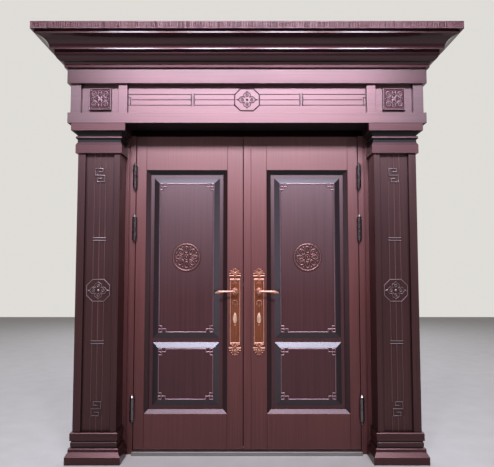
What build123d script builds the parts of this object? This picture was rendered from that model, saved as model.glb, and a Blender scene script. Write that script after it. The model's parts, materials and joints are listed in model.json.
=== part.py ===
from build123d import *
import os

# A double-leaf temple entrance with its carved surround, in millimetres.
# X runs to the viewer's right, Y into the wall and Z up.
# The origin is on the floor under the middle of the threshold.
# Y = 0 is the plane of the leaves' front faces and of the wall's face.

# Doorway, leaves and the gaps round them
DOORWAY_WIDTH = 1508.0
LEAF_HEIGHT = 2085.0
LEAF_THICKNESS = 75.0
HINGE_GAP = 4.0
HEAD_GAP = 4.0
SILL_GAP = 6.0
MEETING_GAP = 4.0
ASTRAGAL_WIDTH = 50.0
ASTRAGAL_RISE = 2.0

# Clearances shared by all pieces
SEAT_GAP = 0.3
RUNNING_GAP = 0.05
SLIDE_GAP = 0.4
POCKET_GAP = 2.0
EDGE_EASE = 1.5
OVERRUN = 6.0

# Leaf frame and carved panel
HINGE_STILE_WIDTH = 68.0
LOCK_STILE_WIDTH = 106.0
TOP_RAIL_HEIGHT = 232.0
BOTTOM_RAIL_HEIGHT = 229.0
MOULDING_SLOPE_WIDTH = 33.0
MOULDING_FILLET_WIDTH = 11.0
MOULDING_DEPTH = 17.0
PANEL_DEPTH = 24.0
PANEL_BEVEL_WIDTH = 44.0
PANEL_VALLEY = 11.0
PANEL_BACK_RECESS = 10.0
FIELD_DEPTH = 5.0
LOWER_FIELD_HEIGHT = 341.0

# Bead with stepped corner frets on each raised field
BEAD_INSET = 6.0
BEAD_WIDTH = 6.0
BEAD_RISE = 3.0
FRET_REACH_X = 47.0
FRET_REACH_Z = 40.0
FRET_STEP = 20.0

# Round medallion on the upper field
MEDALLION_DIAMETER = 190.0
MEDALLION_BASE = 3.0
MEDALLION_RISE = 8.0
MEDALLION_RIM = 12.0
MEDALLION_PETALS = 8
MEDALLION_PETAL_SHARES = (0.105, 0.045)
MEDALLION_PETAL_PLACE_SHARE = 0.27
MEDALLION_BOSS_SHARE = 0.12

# Handle plates and levers
HANDLE_HEIGHT = 1066.0
PLATE_WIDTH = 70.0
PLATE_RISE = 94.0
PLATE_BODY_HEIGHT = 440.0
PLATE_THICKNESS = 8.0
FINIAL_WIDTH = 85.0
FINIAL_TOP_HEIGHT = 64.0
FINIAL_BOTTOM_HEIGHT = 84.0
COLLAR_HEIGHT = 10.0
COLLAR_RISE = 4.0
FINIAL_OUTLINE_SHARES = ((1.0, 0.0), (1.0, 0.18), (0.72, 0.3), (0.92, 0.48), (0.5, 0.58), (0.42, 0.78),
                         (0.12, 1.0))
HUB_DIAMETER = 36.0
LEVER_REACH = 132.0
LEVER_STANDOFF = 40.0
LEVER_DEPTH = 15.0
LEVER_TIP_DROP = 8.0
LEVER_OUTLINE_SHARES = ((0.0, 0.36), (0.35, 0.36), (0.7, 0.58), (0.93, 0.42))
SPINDLE_DIAMETER = 12.0

# Keyhole and its swinging oval cover
KEYHOLE_DROP = 177.0
COVER_WIDTH = 30.0
COVER_HEIGHT = 70.0
COVER_THICKNESS = 4.0
COVER_PIVOT_DIAMETER = 6.0
COVER_PIVOT_INSET = 9.0
KEYHOLE_DIAMETER = 10.0
KEYHOLE_SLOT_WIDTH = 5.0
KEYHOLE_SLOT_HEIGHT = 18.0

# Mortise lock, bolts and thumbturn
LOCK_CASE_WIDTH = 70.0
LOCK_CASE_THICKNESS = 22.0
LOCK_CASE_MARGIN = 30.0
BOLT_THICKNESS = 14.0
LATCH_RISE = 45.0
LATCH_HEIGHT = 24.0
LATCH_LENGTH = 45.0
LATCH_THROW = 18.0
LATCH_REACH = 15.0
DEADBOLT_HEIGHT = 30.0
DEADBOLT_LENGTH = 38.0
DEADBOLT_THROW = 24.0
DEADBOLT_SETBACK = 4.0
SHOOT_BOLT_SIZE = 12.0
SHOOT_BOLT_REACH = 8.0
SHOOT_BOLT_THROW = 15.0
SHOOT_BOLT_OFFSET = 24.0
SHOOT_BOLT_START = 40.0
THUMBTURN_SHAFT_DIAMETER = 10.0
THUMBTURN_KNOB_DIAMETER = 24.0
THUMBTURN_KNOB_HEIGHT = 46.0
THUMBTURN_KNOB_WIDTH = 12.0
THUMBTURN_KNOB_DEPTH = 16.0

# Barrel hinges: three to a leaf
HINGE_DIAMETER = 30.0
HINGE_AXIS_OFFSET = 2.0
HINGE_STANDOFF = 1.0
HINGE_LENGTH = 150.0
HINGE_CONE_HEIGHT = 20.0
HINGE_CONE_TIP_DIAMETER = 8.0
HINGE_PIN_DIAMETER = 14.0
HINGE_PIN_LENGTH = 50.0
HINGE_ARM_WIDTH = 26.0
HINGE_ARM_THICKNESS = 9.0
HINGE_BOTTOM_INSET = 264.0
HINGE_TOP_INSET = 278.0
HINGE_UPPER_SPACING = 350.0

# Frame in the wall opening
FRAME_DEPTH = 110.0
JAMB_FACE_WIDTH = 35.0
JAMB_GROOVE_WIDTH = 10.0
JAMB_GROOVE_DEPTH = 12.0
CASING_WIDTH = 26.0
HEAD_FACE_HEIGHT = 37.0
STOP_WIDTH = 19.0
GASKET_WIDTH = 8.0
GASKET_THICKNESS = 3.7
THRESHOLD_HEIGHT = 25.0
THRESHOLD_NOSE = 30.0
ANCHOR_HOLE_RADIUS = 6.0
ANCHOR_INSET = 430.0

# Pilasters
PILASTER_WIDTH = 275.0
PILASTER_DEPTH = 150.0
INNER_STRIP_WIDTH = 40.0
OUTER_STRIP_WIDTH = 50.0
PILASTER_RECESS = 18.0
PILASTER_PANEL_THICKNESS = 14.0
PLINTH_SLAB_HEIGHT = 48.0
PLINTH_SLAB_OVERHANG = 36.0
PLINTH_SLOPE_HEIGHT = 26.0
PLINTH_STEP_OVERHANG = 20.0
PLINTH_STEP_HEIGHT = 22.0
PLINTH_GROOVE_HEIGHT = 44.0
PLINTH_GROOVE_OVERHANG = 5.0
PLINTH_BLOCK_HEIGHT = 50.0
PLINTH_BLOCK_OVERHANG = 13.0
CAPITAL_BLOCK_HEIGHT = 57.0
CAPITAL_BLOCK_OVERHANG = 14.0
CAPITAL_CHAMFER_HEIGHT = 16.0
CAPITAL_NECK_HEIGHT = 19.0
CAPITAL_NECK_OVERHANG = 4.0
CAPITAL_BEAD_HEIGHT = 22.0
CAPITAL_BEAD_BULGE = 10.0
CAPITAL_COVE_HEIGHT = 29.0
CAPITAL_COVE_OVERHANG = 30.0
CAPITAL_COVE_BULGE = 6.0
ABACUS_HEIGHT = 49.0
ABACUS_OVERHANG = 38.0

# Carving on the pilaster panels and the frieze
LINE_WIDTH = 4.0
LINE_RISE = 2.5
LINE_SPACING = 36.0
PAIR_BAR_LENGTH = 80.0
PAIR_BAR_WIDTH = 6.0
PAIR_BAR_SPACING = 17.0
CARVING_RISE = 5.0
CARVING_BAR_WIDTH = 7.0
CARVING_BACKING_RISE = 1.0
PILASTER_OCTAGON_WIDTH = 155.0
PILASTER_OCTAGON_HEIGHT = 147.0
OCTAGON_CORNER_CUT = 40.0
FRIEZE_OCTAGON_WIDTH = 168.0
FRIEZE_OCTAGON_HEIGHT = 153.0
SIDE_FRET_WIDTH = 70.0
SIDE_FRET_HEIGHT = 87.0
SIDE_FRET_INSET = 140.0
PAIR_BAR_OFFSET = 330.0
FRIEZE_PAIR_SHARE = 0.457
FRIEZE_BRACKET_INSET = 10.0
FRIEZE_BRACKET_WIDTH = 24.0
SIDE_FRET_SHARES = ((-0.3, 0.5), (0.35, 0.5), (0.35, 1.0), (-0.8, 1.0), (-0.8, 0.0),
                    (0.8, 0.0), (0.8, -1.0), (-0.35, -1.0), (-0.35, -0.5), (0.3, -0.5))
PETAL_RADIUS_SHARE = 0.15
PETAL_PLACE_SHARES = (0.215, 0.2)
PETAL_EYE_SHARE = 0.075
PETAL_TIP_SHARES = (0.44, 0.34)

# Lintel and frieze
LINTEL_OVERHANG = 62.0
LINTEL_DEPTH = 190.0
BOTTOM_BOARD_HEIGHT = 68.0
FRIEZE_HEIGHT = 193.0
TOP_BOARD_HEIGHT = 100.0
TOP_BOARD_EXTRA = 6.0
FRIEZE_DEPTH = 152.0
FRIEZE_THICKNESS = 20.0
STILE_RISE = 22.0
STILE_WIDTH = 60.0
STILE_INSET = 46.0
POST_WIDTH = 68.0
POST_SETBACK = 13.0
BLOCK_SIZE = 145.0
BLOCK_RISE = 14.0
BLOCK_BORDER = 8.0
BLOCK_CARVING_RISE = 4.0
BLOCK_SCROLL_SHARE = 0.15
BLOCK_SCROLL_PLACE_SHARE = 0.25
BLOCK_SCROLL_EYE_SHARE = 0.075

# Cornice: crown moulding from the top board out to the slab
CROWN_SEAT = 30.0
CROWN_BEAD_OUT = 15.0
CROWN_BEAD_HEIGHT = 16.0
CROWN_STEP_BACK = 6.0
CROWN_STEP_WIDTH = 12.0
CROWN_STEP_HEIGHT = 16.0
OVOLO_STEP = 12.0
OVOLO_WIDTH = 31.0
OVOLO_HEIGHT = 50.0
OVOLO_BULGE = 9.0
MID_FILLET_HEIGHT = 9.0
COVE_STEP = 23.0
COVE_WIDTH = 52.0
COVE_HEIGHT = 69.0
COVE_BULGE = 17.0
TOP_FILLET_STEP = 18.0
TOP_FILLET_RISE = 4.0
TOP_FILLET_HEIGHT = 18.0
CROWN_BACK_SETBACK = 52.0
CROWN_BACK_HEIGHT = 40.0
SLAB_STEP = 19.0
SLAB_HEIGHT = 48.0

# Places worked out from the sizes above
HALF_DOORWAY = DOORWAY_WIDTH / 2
LEAF_OUTER = HALF_DOORWAY - HINGE_GAP
LOCK_EDGE = (ASTRAGAL_WIDTH + MEETING_GAP) / 2
LEAF_BOTTOM = THRESHOLD_HEIGHT + SILL_GAP
LEAF_TOP = LEAF_BOTTOM + LEAF_HEIGHT
HEAD_BOTTOM = LEAF_TOP + HEAD_GAP
HEAD_TOP = HEAD_BOTTOM + HEAD_FACE_HEIGHT
HINGE_X = HALF_DOORWAY + HINGE_AXIS_OFFSET
HINGE_AXIS_PROUD = HINGE_DIAMETER / 2 + HINGE_STANDOFF
HINGE_HEIGHTS = (LEAF_BOTTOM + HINGE_BOTTOM_INSET, LEAF_TOP - HINGE_TOP_INSET - HINGE_UPPER_SPACING,
                 LEAF_TOP - HINGE_TOP_INSET)
STOP_FRONT = LEAF_THICKNESS + SEAT_GAP + GASKET_THICKNESS
EDGE_BEVEL = (LEAF_THICKNESS + HINGE_AXIS_PROUD) ** 2 / (LEAF_OUTER - LOCK_EDGE) / 2
RECESS_X = (LOCK_EDGE + LOCK_STILE_WIDTH, LEAF_OUTER - HINGE_STILE_WIDTH)
RECESS_Z = (LEAF_BOTTOM + BOTTOM_RAIL_HEIGHT, LEAF_TOP - TOP_RAIL_HEIGHT)
MOULDING_WIDTH = MOULDING_SLOPE_WIDTH + MOULDING_FILLET_WIDTH
PANEL_X = (RECESS_X[0] + MOULDING_WIDTH, RECESS_X[1] - MOULDING_WIDTH)
LOWER_PANEL_TOP = RECESS_Z[0] + MOULDING_WIDTH + LOWER_FIELD_HEIGHT + 2 * PANEL_BEVEL_WIDTH
LOWER_PANEL_Z = (RECESS_Z[0] + MOULDING_WIDTH, LOWER_PANEL_TOP)
UPPER_PANEL_Z = (LOWER_PANEL_TOP + PANEL_VALLEY, RECESS_Z[1] - MOULDING_WIDTH)
FIELD_MIDDLE = (PANEL_X[0] + PANEL_X[1]) / 2
HANDLE_X = LOCK_EDGE + LOCK_STILE_WIDTH / 2
LEAF_MIDDLE = LEAF_THICKNESS / 2
LOCK_CASE_X = (HANDLE_X - LOCK_CASE_WIDTH / 2, HANDLE_X + LOCK_CASE_WIDTH / 2)
LOCK_CASE_Y = (LEAF_MIDDLE - LOCK_CASE_THICKNESS / 2, LEAF_MIDDLE + LOCK_CASE_THICKNESS / 2)
BOLT_Y = (LEAF_MIDDLE - BOLT_THICKNESS / 2, LEAF_MIDDLE + BOLT_THICKNESS / 2)
LATCH_MIDDLE = HANDLE_HEIGHT + LATCH_RISE
KEYHOLE_HEIGHT = HANDLE_HEIGHT - KEYHOLE_DROP
PLATE_TOP = HANDLE_HEIGHT + PLATE_RISE
PLATE_BOTTOM = PLATE_TOP - PLATE_BODY_HEIGHT
LOCK_CASE_Z = (KEYHOLE_HEIGHT - DEADBOLT_HEIGHT / 2 - LOCK_CASE_MARGIN,
               LATCH_MIDDLE + LATCH_HEIGHT / 2 + LOCK_CASE_MARGIN)
SHOOT_BOLT_X = HANDLE_X - SHOOT_BOLT_OFFSET
COVER_PIVOT_Z = KEYHOLE_HEIGHT + COVER_HEIGHT / 2 - COVER_PIVOT_INSET
FRAME_HALF_WIDTH = HALF_DOORWAY + JAMB_FACE_WIDTH + JAMB_GROOVE_WIDTH + CASING_WIDTH
PILASTER_X = (FRAME_HALF_WIDTH, FRAME_HALF_WIDTH + PILASTER_WIDTH)
PILASTER_PANEL_X = (PILASTER_X[0] + INNER_STRIP_WIDTH, PILASTER_X[1] - OUTER_STRIP_WIDTH)
PILASTER_MIDDLE = (PILASTER_PANEL_X[0] + PILASTER_PANEL_X[1]) / 2
PILASTER_PANEL_Y = PILASTER_RECESS - PILASTER_DEPTH
PLINTH_HEIGHT = (PLINTH_SLAB_HEIGHT + PLINTH_SLOPE_HEIGHT + PLINTH_STEP_HEIGHT + PLINTH_GROOVE_HEIGHT
                 + PLINTH_BLOCK_HEIGHT)
CAPITAL_HEIGHT = (CAPITAL_BLOCK_HEIGHT + CAPITAL_CHAMFER_HEIGHT + CAPITAL_NECK_HEIGHT + CAPITAL_BEAD_HEIGHT
                  + CAPITAL_COVE_HEIGHT + ABACUS_HEIGHT)
SHAFT_Z = (PLINTH_HEIGHT, HEAD_TOP - CAPITAL_HEIGHT)
PILASTER_OCTAGON_PLACE = (SHAFT_Z[0] + SHAFT_Z[1]) / 2
SIDE_FRET_PLACES = (SHAFT_Z[0] + SIDE_FRET_INSET, SHAFT_Z[1] - SIDE_FRET_INSET)
PAIR_BAR_PLACES = (PILASTER_OCTAGON_PLACE - PAIR_BAR_OFFSET, PILASTER_OCTAGON_PLACE + PAIR_BAR_OFFSET)
FRIEZE_Z = (HEAD_TOP + BOTTOM_BOARD_HEIGHT, HEAD_TOP + BOTTOM_BOARD_HEIGHT + FRIEZE_HEIGHT)
FRIEZE_MIDDLE = (FRIEZE_Z[0] + FRIEZE_Z[1]) / 2
LINTEL_TOP = FRIEZE_Z[1] + TOP_BOARD_HEIGHT
LINTEL_HALF_WIDTH = PILASTER_X[1] + LINTEL_OVERHANG
STILE_INNER_EDGE = PILASTER_X[0] - STILE_INSET
FRIEZE_PAIR_PLACE = FRIEZE_PAIR_SHARE * STILE_INNER_EDGE
TOP_BOARD_HALF_WIDTH = LINTEL_HALF_WIDTH + TOP_BOARD_EXTRA
POST_X = (LINTEL_HALF_WIDTH - POST_SETBACK - POST_WIDTH, LINTEL_HALF_WIDTH - POST_SETBACK)
STILE_X = (STILE_INNER_EDGE, STILE_INNER_EDGE + STILE_WIDTH)
BLOCK_MIDDLE = (STILE_X[1] + POST_X[0]) / 2
CROWN_RISE = (CROWN_BEAD_HEIGHT + CROWN_STEP_HEIGHT + OVOLO_HEIGHT + MID_FILLET_HEIGHT + COVE_HEIGHT
                      + TOP_FILLET_RISE + TOP_FILLET_HEIGHT)
CROWN_STEP_OUT = CROWN_BEAD_OUT - CROWN_STEP_BACK
OVOLO_OUT = CROWN_STEP_OUT + CROWN_STEP_WIDTH + OVOLO_STEP
COVE_OUT = OVOLO_OUT + OVOLO_WIDTH + COVE_STEP
TOP_FILLET_OUT = COVE_OUT + COVE_WIDTH + TOP_FILLET_STEP
SLAB_OUT = TOP_FILLET_OUT + SLAB_STEP
SLAB_BOTTOM = LINTEL_TOP + CROWN_RISE


def block(x, y, z):
    """A box between two limits along each axis."""
    sizes = [abs(high - low) for low, high in (x, y, z)]
    middle = [(low + high) / 2 for low, high in (x, y, z)]
    return Pos(*middle) * Box(*sizes)


def board(x, y, z):
    """A box with all its edges eased."""
    return chamfer(block(x, y, z).edges(), EDGE_EASE)


def facing(y):
    """A drawing plane at depth y, with X to the right and Z up, that extrudes towards the viewer."""
    return Plane.XZ.offset(-y)


def raised(sketch, y, rise):
    """A drawing that stands up from depth y towards the viewer."""
    return extrude(facing(y) * sketch, rise)


def shaft(x, z, diameter, y):
    """A round bar along Y between two depths."""
    return raised(Pos(x, z) * Circle(diameter / 2), y[1], y[1] - y[0])


def bead_bar(start, end, width):
    """A straight bead between two points of a drawing, with square ends half its width past them."""
    middle = ((start[0] + end[0]) / 2, (start[1] + end[1]) / 2)
    return Pos(*middle) * Rectangle(abs(end[0] - start[0]) + width, abs(end[1] - start[1]) + width)


def bead_path(points, width):
    """Straight beads that join a row of points."""
    return Sketch() + [bead_bar(start, end, width) for start, end in zip(points, points[1:])]


def mirrored(shape):
    """The same piece on the other side of the doorway."""
    return mirror(shape, about=Plane.YZ)


def raised_field(z):
    """A panel's bevels and the flat field that they rise to."""
    sections = []
    for y, inset in ((PANEL_DEPTH, 0), (FIELD_DEPTH, PANEL_BEVEL_WIDTH)):
        width = PANEL_X[1] - PANEL_X[0] - 2 * inset
        height = z[1] - z[0] - 2 * inset
        sections.append(facing(y) * Pos(FIELD_MIDDLE, (z[0] + z[1]) / 2) * Rectangle(width, height))
    return loft(sections, ruled=True)


def bead_frame(z):
    """The bead round one field, broken at each corner by a stepped fret."""
    inset = PANEL_BEVEL_WIDTH + BEAD_INSET
    left, right = PANEL_X[0] + inset, PANEL_X[1] - inset
    low, high = z[0] + inset, z[1] - inset
    fret = [((0, FRET_REACH_Z), (FRET_STEP, FRET_REACH_Z)), ((0, FRET_STEP), (FRET_REACH_X, FRET_STEP)),
            ((0, 0), (FRET_STEP, 0)), ((0, 0), (0, FRET_STEP)),
            ((FRET_STEP, 0), (FRET_STEP, FRET_REACH_Z)), ((FRET_REACH_X, 0), (FRET_REACH_X, FRET_STEP))]
    bars = []
    for corner_x, way_x in ((left, 1), (right, -1)):
        bars.append(bead_bar((corner_x, low + FRET_REACH_Z), (corner_x, high - FRET_REACH_Z), BEAD_WIDTH))
        for corner_z, way_z in ((low, 1), (high, -1)):
            for start, end in fret:
                first = (corner_x + way_x * start[0], corner_z + way_z * start[1])
                last = (corner_x + way_x * end[0], corner_z + way_z * end[1])
                bars.append(bead_bar(first, last, BEAD_WIDTH))
    for corner_z in (low, high):
        bars.append(bead_bar((left + FRET_REACH_X, corner_z), (right - FRET_REACH_X, corner_z), BEAD_WIDTH))
    return raised(Sketch() + bars, FIELD_DEPTH, BEAD_RISE)


def carved_panel():
    """One board with two raised fields, each with its bead frame."""
    panel = block(RECESS_X, (PANEL_DEPTH, LEAF_THICKNESS - PANEL_BACK_RECESS), RECESS_Z)
    for z in (LOWER_PANEL_Z, UPPER_PANEL_Z):
        panel = panel + raised_field(z) + bead_frame(z)
    return panel


def panel_moulding():
    """The sloping moulding round the recess, with a flat fillet at its foot."""
    opening_z = (RECESS_Z[0] + MOULDING_WIDTH, RECESS_Z[1] - MOULDING_WIDTH)
    moulding = block(RECESS_X, (0, PANEL_DEPTH), RECESS_Z)
    moulding -= block(PANEL_X, (-OVERRUN, PANEL_DEPTH + OVERRUN), opening_z)
    slope = []
    for y, inset in ((0, 0), (MOULDING_DEPTH, MOULDING_SLOPE_WIDTH)):
        width = RECESS_X[1] - RECESS_X[0] - 2 * inset
        height = RECESS_Z[1] - RECESS_Z[0] - 2 * inset
        slope.append(facing(y) * Pos(FIELD_MIDDLE, (RECESS_Z[0] + RECESS_Z[1]) / 2) * Rectangle(width, height))
    return moulding - loft(slope, ruled=True)


def medallion():
    """A cast disc with a raised rim, a ring of petals and a boss."""
    radius = MEDALLION_DIAMETER / 2
    petal_long, petal_wide = (share * MEDALLION_DIAMETER for share in MEDALLION_PETAL_SHARES)
    place = MEDALLION_PETAL_PLACE_SHARE * MEDALLION_DIAMETER
    petal = Pos(place, 0) * Ellipse(petal_long, petal_wide)
    carving = Circle(radius) - Circle(radius - MEDALLION_RIM)
    carving += [Rot(0, 0, step * 360 / MEDALLION_PETALS) * petal for step in range(MEDALLION_PETALS)]
    carving += Circle(MEDALLION_BOSS_SHARE * MEDALLION_DIAMETER)
    centre = Pos(FIELD_MIDDLE, (UPPER_PANEL_Z[0] + UPPER_PANEL_Z[1]) / 2)
    return raised(centre * Circle(radius), FIELD_DEPTH, MEDALLION_BASE) + raised(
        centre * carving, FIELD_DEPTH, MEDALLION_RISE)


def octagon(width, height):
    """An upright octagon with equal corner cuts."""
    half_width, half_height = width / 2, height / 2
    inner_width, inner_height = half_width - OCTAGON_CORNER_CUT, half_height - OCTAGON_CORNER_CUT
    quarter = [(half_width, inner_height), (inner_width, half_height)]
    upper = quarter + [(-u, v) for u, v in reversed(quarter)]
    return make_face(Polyline(*upper, *[(u, -v) for u, v in reversed(upper)], close=True))


def four_petal_flower(width):
    """Four ring petals on a cross with pointed tips, as in a cloud-head flower."""
    radius, eye = PETAL_RADIUS_SHARE * width, PETAL_EYE_SHARE * width
    tips = [share * width for share in PETAL_TIP_SHARES]
    places = [share * width for share in PETAL_PLACE_SHARES]
    petals, eyes = [], []
    for turn, tip, place in ((0, tips[0], places[0]), (90, tips[1], places[1]),
                             (180, tips[0], places[0]), (270, tips[1], places[1])):
        point = make_face(Polyline((place, radius), (tip, 0), (place, -radius), close=True))
        petals += [Rot(0, 0, turn) * point, Rot(0, 0, turn) * Pos(place, 0) * Circle(radius)]
        eyes.append(Rot(0, 0, turn) * Pos(place, 0) * Circle(eye))
    return Sketch() + petals - eyes


def octagon_ornament(width, height, place, y):
    """An octagonal rim round a four-petal flower on a thin backing."""
    rim = octagon(width, height) - octagon(width - 2 * CARVING_BAR_WIDTH, height - 2 * CARVING_BAR_WIDTH)
    backing = raised(Pos(*place) * octagon(width, height), y, CARVING_BACKING_RISE)
    return backing + raised(Pos(*place) * (rim + four_petal_flower(width)), y, CARVING_RISE)


def pilaster_carving():
    """Lines, paired bars and stepped frets down the pilaster panel, as one drawing."""
    stops = [SIDE_FRET_PLACES[0] + SIDE_FRET_HEIGHT / 2, PAIR_BAR_PLACES[0] - PAIR_BAR_SPACING / 2,
             PAIR_BAR_PLACES[0] + PAIR_BAR_SPACING / 2, PILASTER_OCTAGON_PLACE - PILASTER_OCTAGON_HEIGHT / 2,
             PILASTER_OCTAGON_PLACE + PILASTER_OCTAGON_HEIGHT / 2, PAIR_BAR_PLACES[1] - PAIR_BAR_SPACING / 2,
             PAIR_BAR_PLACES[1] + PAIR_BAR_SPACING / 2, SIDE_FRET_PLACES[1] - SIDE_FRET_HEIGHT / 2]
    lines = []
    for low, high in zip(stops[::2], stops[1::2]):
        for offset in (-LINE_SPACING, 0, LINE_SPACING):
            x = PILASTER_MIDDLE + offset
            lines.append(bead_bar((x, low), (x, high), LINE_WIDTH))
    lines.append(bead_bar((PILASTER_MIDDLE, SHAFT_Z[0] + LINE_WIDTH),
                          (PILASTER_MIDDLE, SIDE_FRET_PLACES[0] - SIDE_FRET_HEIGHT / 2), LINE_WIDTH))
    lines.append(bead_bar((PILASTER_MIDDLE, SIDE_FRET_PLACES[1] + SIDE_FRET_HEIGHT / 2),
                          (PILASTER_MIDDLE, SHAFT_Z[1] - LINE_WIDTH), LINE_WIDTH))
    bold = []
    for place in PAIR_BAR_PLACES:
        for offset in (-PAIR_BAR_SPACING / 2, PAIR_BAR_SPACING / 2):
            ends = [(PILASTER_MIDDLE + way * PAIR_BAR_LENGTH / 2, place + offset) for way in (-1, 1)]
            bold.append(bead_bar(*ends, PAIR_BAR_WIDTH))
    for place in SIDE_FRET_PLACES:
        path = [(PILASTER_MIDDLE + u * SIDE_FRET_WIDTH / 2, place + v * SIDE_FRET_HEIGHT / 2)
                for u, v in SIDE_FRET_SHARES]
        bold.append(bead_path(path, CARVING_BAR_WIDTH))
    return Sketch() + lines, Sketch() + bold


def pilaster_panel():
    """The recessed pilaster board with its carving."""
    panel = block(PILASTER_PANEL_X, (PILASTER_PANEL_Y, PILASTER_PANEL_Y + PILASTER_PANEL_THICKNESS), SHAFT_Z)
    lines, bold = pilaster_carving()
    panel = panel + raised(lines, PILASTER_PANEL_Y, LINE_RISE) + raised(bold, PILASTER_PANEL_Y, CARVING_RISE)
    place = (PILASTER_MIDDLE, PILASTER_OCTAGON_PLACE)
    return panel + octagon_ornament(PILASTER_OCTAGON_WIDTH, PILASTER_OCTAGON_HEIGHT, place, PILASTER_PANEL_Y)


def profile_edges(points):
    """Lines and arcs through (overhang, height) points; a third value is the bulge of the arc before it."""
    edges = []
    for first, last in zip(points, points[1:]):
        start, end = first[:2], last[:2]
        edges.append(SagittaArc(start, end, last[2]) if len(last) > 2 else Line(start, end))
    return edges


def profile_face(points, wall):
    """A section between a moulded edge and a straight back."""
    back = [points[-1][:2], (wall, points[-1][1]), (wall, points[0][1]), points[0][:2]]
    return make_face(profile_edges(points) + [Polyline(*back)])


def moulded_block(points, x, front):
    """A block against the wall whose front and both sides follow one profile."""
    middle = (x[0] + x[1]) / 2
    reach = x[1] - x[0] + front
    side_face = profile_face([(x[1] + point[0], *point[1:]) for point in points], middle)
    side = extrude(Plane.XZ * side_face, reach)
    front_face = profile_face([(front + point[0], *point[1:]) for point in points], 0)
    turned = Plane(origin=(middle - OVERRUN, 0, 0), x_dir=(0, -1, 0), z_dir=(-1, 0, 0))
    half = side & extrude(turned * front_face, -reach)
    return half + mirror(half, about=Plane.YZ.offset(middle))


def stacked(runs, base):
    """Profile points from runs of (overhang, rise) or (overhang, rise, bulge), each rise above the last."""
    points, height = [], base
    for run in runs:
        height += run[1]
        points.append((run[0], height, *run[2:]))
    return points


def plinth():
    """Pilaster foot: a spread slab, a slope, a groove and a top block."""
    runs = [(PLINTH_SLAB_OVERHANG, 0), (PLINTH_SLAB_OVERHANG, PLINTH_SLAB_HEIGHT),
            (PLINTH_STEP_OVERHANG, PLINTH_SLOPE_HEIGHT), (PLINTH_STEP_OVERHANG, PLINTH_STEP_HEIGHT),
            (PLINTH_GROOVE_OVERHANG, 0), (PLINTH_GROOVE_OVERHANG, PLINTH_GROOVE_HEIGHT),
            (PLINTH_BLOCK_OVERHANG, 0), (PLINTH_BLOCK_OVERHANG, PLINTH_BLOCK_HEIGHT)]
    return moulded_block(stacked(runs, 0), PILASTER_X, PILASTER_DEPTH)


def capital():
    """Pilaster head: a block, a neck, a bead, a cove and an abacus."""
    runs = [(CAPITAL_BLOCK_OVERHANG, 0), (CAPITAL_BLOCK_OVERHANG, CAPITAL_BLOCK_HEIGHT),
            (CAPITAL_NECK_OVERHANG, CAPITAL_CHAMFER_HEIGHT), (CAPITAL_NECK_OVERHANG, CAPITAL_NECK_HEIGHT),
            (CAPITAL_NECK_OVERHANG, CAPITAL_BEAD_HEIGHT, -CAPITAL_BEAD_BULGE),
            (CAPITAL_COVE_OVERHANG, CAPITAL_COVE_HEIGHT, CAPITAL_COVE_BULGE),
            (ABACUS_OVERHANG, 0), (ABACUS_OVERHANG, ABACUS_HEIGHT)]
    return moulded_block(stacked(runs, SHAFT_Z[1]), PILASTER_X, PILASTER_DEPTH)


def crown_outline():
    """The crown's section as (overhang, height) from the top board's upper edge."""
    runs = [(CROWN_BEAD_OUT, 0), (CROWN_BEAD_OUT, CROWN_BEAD_HEIGHT), (CROWN_STEP_OUT, 0),
            (CROWN_STEP_OUT + CROWN_STEP_WIDTH, CROWN_STEP_HEIGHT), (OVOLO_OUT, 0),
            (OVOLO_OUT + OVOLO_WIDTH, OVOLO_HEIGHT, -OVOLO_BULGE), (OVOLO_OUT + OVOLO_WIDTH, MID_FILLET_HEIGHT),
            (COVE_OUT, 0),
            (COVE_OUT + COVE_WIDTH, COVE_HEIGHT, COVE_BULGE), (TOP_FILLET_OUT, TOP_FILLET_RISE),
            (TOP_FILLET_OUT, TOP_FILLET_HEIGHT)]
    points = stacked(runs, 0)
    back = [points[-1][:2], (TOP_FILLET_OUT - CROWN_BACK_SETBACK, points[-1][1]),
            (-CROWN_SEAT, CROWN_BACK_HEIGHT), (-CROWN_SEAT, 0), points[0][:2]]
    return make_face(profile_edges(points) + [Polyline(*back)])


def crown_pieces():
    """The front moulding and its right-hand return, cut to a mitre."""
    section = crown_outline()
    reach = TOP_FILLET_OUT + OVERRUN
    inner = CROWN_SEAT + OVERRUN
    half, front = TOP_BOARD_HALF_WIDTH, LINTEL_DEPTH
    along = Plane(origin=(half + reach, -front, LINTEL_TOP), x_dir=(0, -1, 0), z_dir=(-1, 0, 0))
    front_run = extrude(along * section, 2 * (half + reach))
    back_run = extrude(Plane(origin=(half, 0, LINTEL_TOP), x_dir=(1, 0, 0), z_dir=(0, -1, 0)) * section,
                       front + reach)
    front_plan = [(-half - reach, -front - reach), (half + reach, -front - reach),
                  (half - inner, inner - front), (inner - half, inner - front)]
    side_plan = [(half + reach, -front - reach), (half + reach, 0), (half - inner, 0),
                 (half - inner, inner - front)]
    levels = Plane.XY.offset(LINTEL_TOP)
    front_cutter = extrude(levels * make_face(Polyline(*front_plan, close=True)), CROWN_RISE)
    side_cutter = extrude(levels * make_face(Polyline(*side_plan, close=True)), CROWN_RISE)
    return front_run & front_cutter, back_run & side_cutter


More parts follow.
